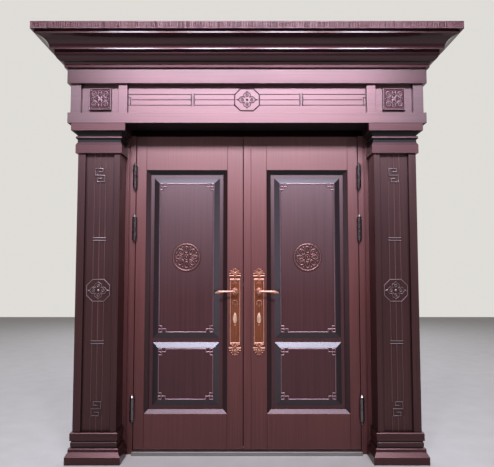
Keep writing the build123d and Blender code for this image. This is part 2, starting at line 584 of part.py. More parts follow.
def frieze_panel():
    """The long board behind the lintel's stiles, carved along its middle."""
    panel = block((-POST_X[0], POST_X[0]), (-FRIEZE_DEPTH, FRIEZE_THICKNESS - FRIEZE_DEPTH), FRIEZE_Z)
    bracket = STILE_INNER_EDGE - FRIEZE_BRACKET_INSET
    bracket_end = bracket - FRIEZE_BRACKET_WIDTH
    stops = [(FRIEZE_OCTAGON_WIDTH / 2, FRIEZE_PAIR_PLACE - PAIR_BAR_SPACING / 2),
             (FRIEZE_PAIR_PLACE + PAIR_BAR_SPACING / 2, bracket_end)]
    lines, bold = [], []
    for way in (-1, 1):
        for first, last in stops:
            for offset in (-LINE_SPACING, 0, LINE_SPACING):
                ends = [(way * x, FRIEZE_MIDDLE + offset) for x in (first, last)]
                lines.append(bead_bar(*ends, LINE_WIDTH))
        for offset in (-PAIR_BAR_SPACING / 2, PAIR_BAR_SPACING / 2):
            x = way * (FRIEZE_PAIR_PLACE + offset)
            ends = [(x, FRIEZE_MIDDLE + side * PAIR_BAR_LENGTH / 2) for side in (-1, 1)]
            bold.append(bead_bar(*ends, PAIR_BAR_WIDTH))
        inner, outer = way * bracket_end, way * bracket
        low, high = FRIEZE_MIDDLE - LINE_SPACING, FRIEZE_MIDDLE + LINE_SPACING
        bold.append(bead_path([(inner, low), (outer, low), (outer, high), (inner, high)], CARVING_BAR_WIDTH))
        bold.append(bead_bar((inner, FRIEZE_MIDDLE), (outer, FRIEZE_MIDDLE), CARVING_BAR_WIDTH))
    panel += raised(Sketch() + lines, -FRIEZE_DEPTH, LINE_RISE)
    panel += raised(Sketch() + bold, -FRIEZE_DEPTH, CARVING_RISE)
    place = (0, FRIEZE_MIDDLE)
    return panel + octagon_ornament(FRIEZE_OCTAGON_WIDTH, FRIEZE_OCTAGON_HEIGHT, place, -FRIEZE_DEPTH)


def corner_block():
    """A square block with a border and a flower of scrolls."""
    place = Pos(BLOCK_MIDDLE, FRIEZE_MIDDLE)
    base = raised(place * Rectangle(BLOCK_SIZE, BLOCK_SIZE), -FRIEZE_DEPTH, BLOCK_RISE)
    inner = BLOCK_SIZE - 2 * BLOCK_BORDER
    border = Rectangle(BLOCK_SIZE, BLOCK_SIZE) - Rectangle(inner, inner)
    scroll = Circle(BLOCK_SCROLL_SHARE * BLOCK_SIZE) - Circle(BLOCK_SCROLL_EYE_SHARE * BLOCK_SIZE)
    reach = BLOCK_SCROLL_PLACE_SHARE * BLOCK_SIZE
    scrolls = [Pos(u * reach, v * reach) * scroll for u in (-1, 1) for v in (-1, 1)]
    carving = border + scrolls + Circle(BLOCK_SCROLL_SHARE * BLOCK_SIZE)
    return base + raised(place * carving, -FRIEZE_DEPTH - BLOCK_RISE, BLOCK_CARVING_RISE)


def jamb():
    """A side post with a shadow groove on its face and a stop behind the leaf."""
    post = board((HALF_DOORWAY, FRAME_HALF_WIDTH), (0, FRAME_DEPTH), (0, HEAD_BOTTOM))
    groove_x = (HALF_DOORWAY + JAMB_FACE_WIDTH, HALF_DOORWAY + JAMB_FACE_WIDTH + JAMB_GROOVE_WIDTH)
    post -= block(groove_x, (-OVERRUN, JAMB_GROOVE_DEPTH), (-OVERRUN, HEAD_BOTTOM + OVERRUN))
    stop_x = (HALF_DOORWAY - STOP_WIDTH, HALF_DOORWAY + EDGE_EASE)
    post += block(stop_x, (STOP_FRONT, FRAME_DEPTH), (THRESHOLD_HEIGHT, HEAD_BOTTOM))
    for z in (ANCHOR_INSET, HEAD_BOTTOM - ANCHOR_INSET):
        hole = Pos((HALF_DOORWAY + FRAME_HALF_WIDTH) / 2, LEAF_MIDDLE, z) * Rot(0, 90, 0)
        post -= hole * Cylinder(ANCHOR_HOLE_RADIUS, FRAME_HALF_WIDTH - HALF_DOORWAY + OVERRUN)
    return post


def shoot_bolt_bore(z, clearance):
    """The square way of a shoot bolt between two heights."""
    half = SHOOT_BOLT_SIZE / 2 + clearance
    return block((SHOOT_BOLT_X - half, SHOOT_BOLT_X + half), (LEAF_MIDDLE - half, LEAF_MIDDLE + half), z)


def frame_head():
    """The head rail with its stop and the pocket for the top bolt."""
    head = board((-FRAME_HALF_WIDTH, FRAME_HALF_WIDTH), (0, FRAME_DEPTH), (HEAD_BOTTOM, HEAD_TOP))
    stop_end = HALF_DOORWAY - STOP_WIDTH
    head += block((-stop_end, stop_end), (STOP_FRONT, FRAME_DEPTH),
                  (HEAD_BOTTOM - STOP_WIDTH, HEAD_BOTTOM + EDGE_EASE))
    pocket_top = LEAF_TOP + HEAD_GAP + SHOOT_BOLT_REACH + POCKET_GAP
    return head - shoot_bolt_bore((HEAD_BOTTOM - OVERRUN, pocket_top), POCKET_GAP)


def threshold():
    """The sill between the jambs, with the pocket for the bottom bolt."""
    sill = board((-HALF_DOORWAY, HALF_DOORWAY), (-THRESHOLD_NOSE, FRAME_DEPTH), (0, THRESHOLD_HEIGHT))
    pocket = THRESHOLD_HEIGHT - SHOOT_BOLT_REACH - POCKET_GAP
    return sill - shoot_bolt_bore((pocket, THRESHOLD_HEIGHT + OVERRUN), POCKET_GAP)


def gasket():
    """The seal strip on the front of the stops, up both sides and over the top."""
    y = (STOP_FRONT - GASKET_THICKNESS, STOP_FRONT)
    inner = HALF_DOORWAY - STOP_WIDTH + SEAT_GAP
    outer = inner + GASKET_WIDTH
    low = HEAD_BOTTOM - STOP_WIDTH + SEAT_GAP
    strip = block((-outer, outer), y, (low, low + GASKET_WIDTH))
    for way in (-1, 1):
        strip += block((way * inner, way * outer), y, (LEAF_BOTTOM, low + GASKET_WIDTH))
    return strip


def bevel_cut(x, way):
    """The wedge taken off a meeting edge so that its back corner clears the other leaf."""
    points = [(x, -OVERRUN), (x, 0), (x + way * EDGE_BEVEL, LEAF_THICKNESS),
              (x + way * EDGE_BEVEL, LEAF_THICKNESS + OVERRUN), (x - way * OVERRUN, LEAF_THICKNESS + OVERRUN),
              (x - way * OVERRUN, -OVERRUN)]
    wedge = make_face(Polyline(*points, close=True))
    return extrude(Plane.XY.offset(LEAF_BOTTOM - OVERRUN) * wedge, LEAF_HEIGHT + 2 * OVERRUN)


def bolt_block(tip, length, middle, height, clearance):
    """A flat bolt, or its way when given a clearance, from its tip towards the hinge."""
    return block((tip - clearance, tip + length + clearance), (BOLT_Y[0] - clearance, BOLT_Y[1] + clearance),
                 (middle - height / 2 - clearance, middle + height / 2 + clearance))


def latch_tip():
    """Distance from the middle of the doorway to the latch's tip when it is out."""
    return LOCK_EDGE - LATCH_REACH


def deadbolt_tip():
    """Distance from the middle of the doorway to the deadbolt's tip when it is in."""
    return LOCK_EDGE + DEADBOLT_SETBACK


def latch_way():
    """The way that the latch slides in, open at the leaf's edge."""
    return bolt_block(latch_tip(), LATCH_LENGTH + LATCH_THROW, LATCH_MIDDLE, LATCH_HEIGHT, SLIDE_GAP)


def deadbolt_way():
    """The way that the deadbolt slides in, open at the leaf's edge."""
    return bolt_block(deadbolt_tip() - DEADBOLT_THROW, DEADBOLT_LENGTH + DEADBOLT_THROW, KEYHOLE_HEIGHT,
                      DEADBOLT_HEIGHT, SLIDE_GAP)


def lock_case_blank():
    """The lock case's outer form, which is also its mortise."""
    return block(LOCK_CASE_X, LOCK_CASE_Y, LOCK_CASE_Z)


def shaft_hole(diameter, z):
    """A clear hole through the leaf at the handle's line."""
    return shaft(HANDLE_X, z, diameter + 2 * POCKET_GAP, (-OVERRUN, LEAF_THICKNESS + OVERRUN))


def top_bolt_z():
    """Lower and upper end of the top shoot bolt."""
    return HANDLE_HEIGHT + SHOOT_BOLT_START, LEAF_TOP + HEAD_GAP + SHOOT_BOLT_REACH


def bottom_bolt_z():
    """Lower and upper end of the bottom shoot bolt."""
    return THRESHOLD_HEIGHT - SHOOT_BOLT_REACH, HANDLE_HEIGHT - SHOOT_BOLT_START


def active_ways(shape):
    """A piece of the active leaf with the ways of its latch, deadbolt and shafts cut."""
    shape = shape - latch_way() - deadbolt_way() - shaft_hole(SPINDLE_DIAMETER, HANDLE_HEIGHT)
    return shape - shaft_hole(THUMBTURN_SHAFT_DIAMETER, KEYHOLE_HEIGHT)


def passive_ways(shape):
    """A piece of the passive leaf with the ways of its shoot bolts and spindle cut."""
    travel = SHOOT_BOLT_THROW + POCKET_GAP
    shape = shape - shoot_bolt_bore((top_bolt_z()[0] - travel, LEAF_TOP + OVERRUN), SLIDE_GAP)
    shape = shape - shoot_bolt_bore((LEAF_BOTTOM - OVERRUN, bottom_bolt_z()[1] + travel), SLIDE_GAP)
    return shape - shaft_hole(SPINDLE_DIAMETER, HANDLE_HEIGHT)


def lock_stile():
    """The stile at the meeting edge, mortised for the lock case."""
    stile = board((LOCK_EDGE, LOCK_EDGE + LOCK_STILE_WIDTH), (0, LEAF_THICKNESS), (LEAF_BOTTOM, LEAF_TOP))
    return stile - lock_case_blank()


def astragal():
    """The meeting strip on the passive leaf, with the pockets of the latch and the deadbolt."""
    left = LOCK_EDGE - ASTRAGAL_WIDTH
    strip = board((left, LOCK_EDGE), (-ASTRAGAL_RISE, LEAF_THICKNESS), (LEAF_BOTTOM, LEAF_TOP))
    strip -= bevel_cut(left, 1)
    for reach, middle, height in ((latch_tip(), LATCH_MIDDLE, LATCH_HEIGHT),
                                  (deadbolt_tip() - DEADBOLT_THROW, KEYHOLE_HEIGHT, DEADBOLT_HEIGHT)):
        strip -= mirrored(bolt_block(reach, LOCK_EDGE, middle, height, POCKET_GAP))
    return strip


def finial(width, height, base, way):
    """A leafy finial above or below the plate, as a drawing."""
    right = [(HANDLE_X + u * width / 2, base + way * v * height) for u, v in FINIAL_OUTLINE_SHARES]
    left = [(2 * HANDLE_X - x, z) for x, z in reversed(right)]
    return make_face(Polyline(*right, *left, close=True))


def handle_plate():
    """The outer long plate with its finials, collars, bores and keyhole."""
    middle = (PLATE_BOTTOM + PLATE_TOP) / 2
    drawing = Pos(HANDLE_X, middle) * Rectangle(PLATE_WIDTH, PLATE_BODY_HEIGHT)
    drawing += finial(FINIAL_WIDTH, FINIAL_TOP_HEIGHT, PLATE_TOP, 1)
    drawing += finial(FINIAL_WIDTH, FINIAL_BOTTOM_HEIGHT, PLATE_BOTTOM, -1)
    plate = raised(drawing, 0, PLATE_THICKNESS)
    collars = [Pos(HANDLE_X, z) * Rectangle(FINIAL_WIDTH, COLLAR_HEIGHT) for z in (PLATE_BOTTOM, PLATE_TOP)]
    plate += raised(Sketch() + collars, 0, PLATE_THICKNESS + COLLAR_RISE)
    return plate - shaft(HANDLE_X, HANDLE_HEIGHT, SPINDLE_DIAMETER + 2 * RUNNING_GAP, plate_cut())


def plate_cut():
    """Depths that a hole through the outer plate runs between."""
    return -PLATE_THICKNESS - COLLAR_RISE - OVERRUN, OVERRUN


def outer_plate():
    """The outer plate, pierced for the keyhole and the pivot of its cover."""
    plate = handle_plate()
    plate -= shaft(HANDLE_X, COVER_PIVOT_Z, COVER_PIVOT_DIAMETER + 2 * RUNNING_GAP, plate_cut())
    plate -= shaft(HANDLE_X, KEYHOLE_HEIGHT, KEYHOLE_DIAMETER, plate_cut())
    slot_x = (HANDLE_X - KEYHOLE_SLOT_WIDTH / 2, HANDLE_X + KEYHOLE_SLOT_WIDTH / 2)
    return plate - block(slot_x, plate_cut(), (KEYHOLE_HEIGHT - KEYHOLE_SLOT_HEIGHT, KEYHOLE_HEIGHT))


def to_inside(shape):
    """The same piece on the inner face of the leaf."""
    return mirror(shape, about=Plane.XZ.offset(-LEAF_MIDDLE))


def lever_blank():
    """A lever on its hub: a swelling arm with a dropped leaf tip."""
    back = -PLATE_THICKNESS - SEAT_GAP
    arm_back = -PLATE_THICKNESS - LEVER_STANDOFF
    hub = shaft(HANDLE_X, HANDLE_HEIGHT, HUB_DIAMETER, (arm_back - LEVER_DEPTH, back))
    radius = HUB_DIAMETER / 2
    upper = [(HANDLE_X + u * LEVER_REACH, HANDLE_HEIGHT + v * radius) for u, v in LEVER_OUTLINE_SHARES]
    lower = [(x, 2 * HANDLE_HEIGHT - z) for x, z in reversed(upper)]
    tip = (HANDLE_X + LEVER_REACH, HANDLE_HEIGHT - LEVER_TIP_DROP)
    outline = [Spline(*upper), Polyline(upper[-1], tip, lower[0]), Spline(*lower), Line(lower[-1], upper[0])]
    return hub + raised(make_face(outline), arm_back, LEVER_DEPTH)


def spindle_depths():
    """Front and back end of the spindle, inside the two hubs."""
    front = -PLATE_THICKNESS - LEVER_STANDOFF / 2
    return front, LEAF_THICKNESS - front


def outer_lever():
    """The outer lever with the spindle that turns both levers."""
    return lever_blank() + shaft(HANDLE_X, HANDLE_HEIGHT, SPINDLE_DIAMETER, spindle_depths())


def inner_lever():
    """The inner lever, bored for the spindle's end."""
    front, back = spindle_depths()
    bore = shaft(HANDLE_X, HANDLE_HEIGHT, SPINDLE_DIAMETER + 2 * RUNNING_GAP, (front, back + SEAT_GAP))
    return to_inside(lever_blank()) - bore


def keyhole_cover():
    """The oval cover with its pivot stub in the plate."""
    front = -PLATE_THICKNESS - SEAT_GAP
    oval = Pos(HANDLE_X, KEYHOLE_HEIGHT) * Ellipse(COVER_WIDTH / 2, COVER_HEIGHT / 2)
    cover = raised(oval, front, COVER_THICKNESS)
    return cover + shaft(HANDLE_X, COVER_PIVOT_Z, COVER_PIVOT_DIAMETER, (front - COVER_THICKNESS, -SEAT_GAP))


def thumbturn():
    """The inside turn that throws the deadbolt: a shaft, a round base and a flat grip."""
    face = LEAF_THICKNESS + PLATE_THICKNESS + SEAT_GAP
    turn = shaft(HANDLE_X, KEYHOLE_HEIGHT, THUMBTURN_SHAFT_DIAMETER, (LOCK_CASE_Y[1] + SEAT_GAP, face))
    turn += shaft(HANDLE_X, KEYHOLE_HEIGHT, THUMBTURN_KNOB_DIAMETER, (face, face + THUMBTURN_KNOB_WIDTH / 2))
    half_width, half_height = THUMBTURN_KNOB_WIDTH / 2, THUMBTURN_KNOB_HEIGHT / 2
    return turn + block((HANDLE_X - half_width, HANDLE_X + half_width), (face, face + THUMBTURN_KNOB_DEPTH),
                        (KEYHOLE_HEIGHT - half_height, KEYHOLE_HEIGHT + half_height))


def hinge_barrel(z, way):
    """Half of a barrel hinge, up or down from its middle, with a cone at its end."""
    length = HINGE_LENGTH / 2 - SEAT_GAP
    centre = Pos(HINGE_X, -HINGE_AXIS_PROUD, z)
    barrel = centre * Pos(0, 0, way * (SEAT_GAP + length / 2)) * Cylinder(HINGE_DIAMETER / 2, length)
    cone = Cone(HINGE_DIAMETER / 2, HINGE_CONE_TIP_DIAMETER / 2, HINGE_CONE_HEIGHT)
    turn = Rot(0, 0, 0) if way > 0 else Rot(180, 0, 0)
    barrel += centre * Pos(0, 0, way * (HINGE_LENGTH + HINGE_CONE_HEIGHT) / 2) * turn * cone
    root = LEAF_OUTER if way > 0 else HALF_DOORWAY
    arm_x = sorted((root, root - way * HINGE_ARM_WIDTH))
    return barrel + block(arm_x, (-HINGE_ARM_THICKNESS, 0),
                          (z + way * SEAT_GAP, z + way * HINGE_LENGTH / 2))


def hinge_posts():
    """The lower hinge halves on the jamb, each with its pin."""
    posts = []
    for z in HINGE_HEIGHTS:
        pin_z = z + (HINGE_PIN_LENGTH - HINGE_LENGTH / 2) / 2
        pin = Pos(HINGE_X, -HINGE_AXIS_PROUD, pin_z)
        pin = pin * Cylinder(HINGE_PIN_DIAMETER / 2, HINGE_PIN_LENGTH + HINGE_LENGTH / 2)
        posts.append(hinge_barrel(z, -1) + pin)
    return Part() + posts


def hinge_knuckles():
    """The upper hinge halves on the leaf, bored for the pins."""
    knuckles = []
    for z in HINGE_HEIGHTS:
        depth = HINGE_PIN_LENGTH + SEAT_GAP
        bore = Pos(HINGE_X, -HINGE_AXIS_PROUD, z + depth / 2)
        bore = bore * Cylinder(HINGE_PIN_DIAMETER / 2 + RUNNING_GAP, depth)
        knuckles.append(hinge_barrel(z, 1) - bore)
    return Part() + knuckles


def surround_nodes():
    """Pieces of the frame and the surround, by name."""
    nodes = {"threshold": threshold(), "frame_head": frame_head(), "frame_gasket": gasket()}
    strip_inner = (PILASTER_X[0], PILASTER_PANEL_X[0])
    strip_outer = (PILASTER_PANEL_X[1], PILASTER_X[1])
    right = {"jamb": jamb(), "pilaster_panel": pilaster_panel(), "capital": capital(), "plinth": plinth(),
             "pilaster_inner_board": board(strip_inner, (-PILASTER_DEPTH, 0), SHAFT_Z),
             "pilaster_outer_board": board(strip_outer, (-PILASTER_DEPTH, 0), SHAFT_Z)}
    crown_front, right["crown_return"] = crown_pieces()
    for name, shape in right.items():
        nodes["right_" + name] = shape
        nodes["left_" + name] = mirrored(shape)
    wide = (-LINTEL_HALF_WIDTH, LINTEL_HALF_WIDTH)
    top_wide = (-TOP_BOARD_HALF_WIDTH, TOP_BOARD_HALF_WIDTH)
    nodes["lintel_bottom_board"] = board(wide, (-LINTEL_DEPTH, 0), (HEAD_TOP, FRIEZE_Z[0]))
    nodes["lintel_top_board"] = board(top_wide, (-LINTEL_DEPTH, 0), (FRIEZE_Z[1], LINTEL_TOP))
    nodes["frieze_panel"] = frieze_panel()
    post = board(POST_X, (-FRIEZE_DEPTH - STILE_RISE, 0), FRIEZE_Z)
    stile = board(STILE_X, (-FRIEZE_DEPTH - STILE_RISE, -FRIEZE_DEPTH), FRIEZE_Z)
    nodes["frieze_stiles"] = Part() + [post, stile, mirrored(post), mirrored(stile)]
    nodes["corner_blocks"] = Part() + [corner_block(), mirrored(corner_block())]
    nodes["crown_front"] = crown_front
    slab_half, slab_front = TOP_BOARD_HALF_WIDTH + SLAB_OUT, LINTEL_DEPTH + SLAB_OUT
    slab_z = (SLAB_BOTTOM, SLAB_BOTTOM + SLAB_HEIGHT)
    nodes["cornice_slab"] = board((-slab_half, slab_half), (-slab_front, 0), slab_z)
    nodes["right_hinge_posts"] = hinge_posts()
    nodes["left_hinge_posts"] = mirrored(hinge_posts())
    return nodes


def leaf_nodes():
    """Pieces of both leaves, by name, drawn on the right and mirrored to the left."""
    full = (LEAF_BOTTOM, LEAF_TOP)
    stile_x = (RECESS_X[1], LEAF_OUTER)
    depth = (0, LEAF_THICKNESS)
    shared = {"hinge_stile": board(stile_x, depth, full),
              "top_rail": board(RECESS_X, depth, (RECESS_Z[1], LEAF_TOP)),
              "bottom_rail": board(RECESS_X, depth, (LEAF_BOTTOM, RECESS_Z[0])),
              "panel_moulding": panel_moulding(), "carved_panel": carved_panel(), "medallion": medallion(),
              "hinge_knuckles": hinge_knuckles(), "outer_plate": outer_plate(), "outer_lever": outer_lever(),
              "inner_lever": inner_lever(), "keyhole_cover": keyhole_cover()}
    nodes = {}
    for name, shape in shared.items():
        nodes["right_" + name] = shape
        nodes["left_" + name] = mirrored(shape)
    inner = to_inside(handle_plate())
    turn_hole = shaft(HANDLE_X, KEYHOLE_HEIGHT, THUMBTURN_SHAFT_DIAMETER + 2 * RUNNING_GAP,
                      (LEAF_THICKNESS - OVERRUN, LEAF_THICKNESS + PLATE_THICKNESS + OVERRUN))
    nodes["right_inner_plate"] = inner
    nodes["left_inner_plate"] = mirrored(inner - turn_hole)
    nodes["right_lock_stile"] = passive_ways(lock_stile())
    nodes["right_lock_case"] = passive_ways(lock_case_blank())
    nodes["left_lock_stile"] = mirrored(active_ways(lock_stile() - bevel_cut(LOCK_EDGE, 1)))
    nodes["left_lock_case"] = mirrored(active_ways(lock_case_blank()))
    nodes["astragal"] = astragal()
    nodes["left_latch_bolt"] = mirrored(bolt_block(latch_tip(), LATCH_LENGTH, LATCH_MIDDLE, LATCH_HEIGHT, 0))
    nodes["left_deadbolt"] = mirrored(
        bolt_block(deadbolt_tip(), DEADBOLT_LENGTH, KEYHOLE_HEIGHT, DEADBOLT_HEIGHT, 0))
    nodes["left_thumbturn"] = mirrored(thumbturn())
    nodes["right_top_bolt"] = shoot_bolt_bore(top_bolt_z(), 0)
    nodes["right_bottom_bolt"] = shoot_bolt_bore(bottom_bolt_z(), 0)
    return nodes


os.makedirs("parts", exist_ok=True)
for node, solid in {**surround_nodes(), **leaf_nodes()}.items():
    export_step(solid, f"parts/{node}.step")
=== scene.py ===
"""Looks of a carved double entrance door with its surround.

Lengths are metres in the row frame: X to the viewer's right, Y into the wall, Z up.
Carving stands out of its board towards the viewer, which is -Y, and is called "out" below.
"""

import json
import logging
import math
from dataclasses import dataclass, field
from enum import Enum
from typing import ClassVar

import bmesh
import bpy
import numpy as np
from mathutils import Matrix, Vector

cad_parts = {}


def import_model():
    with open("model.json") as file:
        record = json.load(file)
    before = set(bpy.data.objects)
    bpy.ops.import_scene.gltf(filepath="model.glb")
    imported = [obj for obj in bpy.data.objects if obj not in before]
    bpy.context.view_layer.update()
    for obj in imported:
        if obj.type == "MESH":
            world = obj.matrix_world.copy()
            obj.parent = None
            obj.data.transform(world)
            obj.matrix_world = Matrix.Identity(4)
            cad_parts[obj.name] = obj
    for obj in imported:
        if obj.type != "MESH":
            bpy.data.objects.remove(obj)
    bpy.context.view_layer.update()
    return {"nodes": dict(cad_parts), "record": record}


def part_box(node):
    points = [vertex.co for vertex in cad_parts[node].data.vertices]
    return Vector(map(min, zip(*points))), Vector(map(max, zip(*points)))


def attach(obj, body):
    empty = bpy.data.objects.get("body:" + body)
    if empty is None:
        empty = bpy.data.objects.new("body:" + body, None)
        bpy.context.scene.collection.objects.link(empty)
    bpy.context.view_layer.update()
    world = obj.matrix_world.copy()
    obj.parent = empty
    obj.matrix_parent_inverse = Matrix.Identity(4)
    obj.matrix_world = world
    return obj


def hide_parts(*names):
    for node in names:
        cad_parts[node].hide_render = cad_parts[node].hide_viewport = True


LOG = logging.getLogger("entrance_door")
MM = 0.001
BLACK = (0.0, 0.0, 0.0)
BOARD_EASE = 0.4 * MM
MITRE_RADIUS = 0.2 * MM
ORNAMENT_FOOT = 0.6 * MM

Point2 = tuple[float, float]
Point3 = tuple[float, float, float]
Colour = Point3


class Grain(Enum):
    """The way that the brushed grain of a finish runs, as scales along X, Y and Z."""

    UPRIGHT = (1.0, 1.0, 0.012)
    LEVEL = (0.012, 0.012, 1.0)


class Side(Enum):
    """One half of the doorway; the value is the sign of its X."""

    LEFT = -1
    RIGHT = 1

    @property
    def word(self) -> str:
        """The side's word in node and body names."""
        return self.name.lower()

    def x(self, distance: float) -> float:
        """A distance from the middle of the doorway as a place along X."""
        return self.value * distance


# Finishes


class Nodes:
    """A material's node tree, with short calls to add and join its nodes."""

    def __init__(self, name: str) -> None:
        """Starts an empty material with a surface shader.

        Args:
            name: the material's name.
        """
        self.material = bpy.data.materials.new(name)
        self.material.use_nodes = True
        self.tree = self.material.node_tree
        self.tree.nodes.clear()
        self.shader = self.add("ShaderNodeBsdfPrincipled")
        output = self.add("ShaderNodeOutputMaterial")
        self.join(self.shader.outputs["BSDF"], output.inputs["Surface"])

    def add(self, kind: str, **settings: object) -> bpy.types.Node:
        """Adds a node and sets its properties.

        Args:
            kind: Blender's name of the node type.
            settings: properties to set on it.

        Returns:
            The new node.
        """
        node = self.tree.nodes.new(kind)
        for key, value in settings.items():
            setattr(node, key, value)
        return node

    def join(self, start: bpy.types.NodeSocket, end: bpy.types.NodeSocket) -> None:
        """Links an output to an input."""
        self.tree.links.new(start, end)

    def set(self, **values: object) -> None:
        """Sets constants on the shader's own sockets; an underscore stands for a space."""
        for key, value in values.items():
            self.shader.inputs[key.replace("_", " ")].default_value = value

    def noise(self, scales: Point3, detail: float = 3.0) -> bpy.types.NodeSocket:
        """Noise on Object coordinates, stretched by a scale along each axis.

        Args:
            scales: waves to the metre along X, Y and Z.
            detail: octaves of the noise.

        Returns:
            The noise value's socket.
        """
        place = self.add("ShaderNodeTexCoord")
        mapping = self.add("ShaderNodeMapping")
        mapping.inputs["Scale"].default_value = scales
        noise = self.add("ShaderNodeTexNoise")
        noise.inputs["Scale"].default_value = 1.0
        noise.inputs["Detail"].default_value = detail
        self.join(place.outputs["Object"], mapping.inputs["Vector"])
        self.join(mapping.outputs["Vector"], noise.inputs["Vector"])
        return noise.outputs["Fac"]

    def ramp(self, factor: bpy.types.NodeSocket, stops: list[tuple[float, Colour]]) -> bpy.types.NodeSocket:
        """A colour ramp over a factor.

        Args:
            factor: the socket that drives it.
            stops: places from 0 to 1 with their colours.

        Returns:
            The colour socket.
        """
        node = self.add("ShaderNodeValToRGB")
        elements = node.color_ramp.elements
        for element, (place, colour) in zip((elements[0], elements[1]), (stops[0], stops[-1])):
            element.position = place
            element.color = (*colour, 1.0)
        for place, colour in stops[1:-1]:
            elements.new(place).color = (*colour, 1.0)
        self.join(factor, node.inputs["Fac"])
        return node.outputs["Color"]

    def span(self, value: bpy.types.NodeSocket, source: Point2, target: Point2) -> bpy.types.NodeSocket:
        """Maps a value from one range to another, held at both ends.

        Args:
            value: the socket to map.
            source: the range that it comes in.
            target: the range that it goes to.

        Returns:
            The mapped value's socket.
        """
        node = self.add("ShaderNodeMapRange")
        limits = ("From Min", "From Max", "To Min", "To Max")
        for name, number in zip(limits, (*source, *target)):
            node.inputs[name].default_value = number
        self.join(value, node.inputs["Value"])
        return node.outputs["Result"]

    def blend(
        self,
        factor: bpy.types.NodeSocket,
        first: bpy.types.NodeSocket | Colour,
        second: bpy.types.NodeSocket | Colour,
        mode: str = "MIX",
    ) -> bpy.types.NodeSocket:
        """Mixes two colours, each a socket or a constant.

        Args:
            factor: the share of the second.
            first: the colour at 0.
            second: the colour at 1.
            mode: Blender's name of the mixing mode.

        Returns:
            The mixed colour's socket.
        """
        node = self.add("ShaderNodeMix", data_type="RGBA", blend_type=mode)
        self.join(factor, node.inputs["Factor"])
        for name, colour in (("A", first), ("B", second)):
            socket = next(s for s in node.inputs if s.name == name and s.type == "RGBA")
            if isinstance(colour, bpy.types.NodeSocket):
                self.join(colour, socket)
            else:
                socket.default_value = (*colour, 1.0)
        return next(s for s in node.outputs if s.type == "RGBA")

    def crevice(self, reach: float) -> bpy.types.NodeSocket:
        """How open a point is within a short reach: 0 deep in a corner, 1 in the open.

        Args:
            reach: how far it looks.

        Returns:
            The value's socket.
        """
        node = self.add("ShaderNodeAmbientOcclusion", samples=6)
        node.inputs["Distance"].default_value = reach
        return node.outputs["AO"]

    def along(self, axis: str, stretch: Point2, target: Point2) -> bpy.types.NodeSocket:
        """Maps a stretch of an axis of the Object coordinates to a range of values, held at both ends.

        Args:
            axis: the axis's letter.
            stretch: the places along it.
            target: the values there.

        Returns:
            The value's socket.
        """
        place = self.add("ShaderNodeTexCoord")
        axes = self.add("ShaderNodeSeparateXYZ")
        self.join(place.outputs["Object"], axes.inputs["Vector"])
        return self.span(axes.outputs[axis], stretch, target)

    def bump(self, height: bpy.types.NodeSocket, strength: float, distance: float) -> None:
        """Gives the shader a bumpy normal from a height.

        Args:
            height: the socket to take it from.
            strength: share of the full tilt.
            distance: the height of a bump.
        """
        node = self.add("ShaderNodeBump")
        node.inputs["Strength"].default_value = strength
        node.inputs["Distance"].default_value = distance
        self.join(height, node.inputs["Height"])
        self.join(node.outputs["Normal"], self.shader.inputs["Normal"])


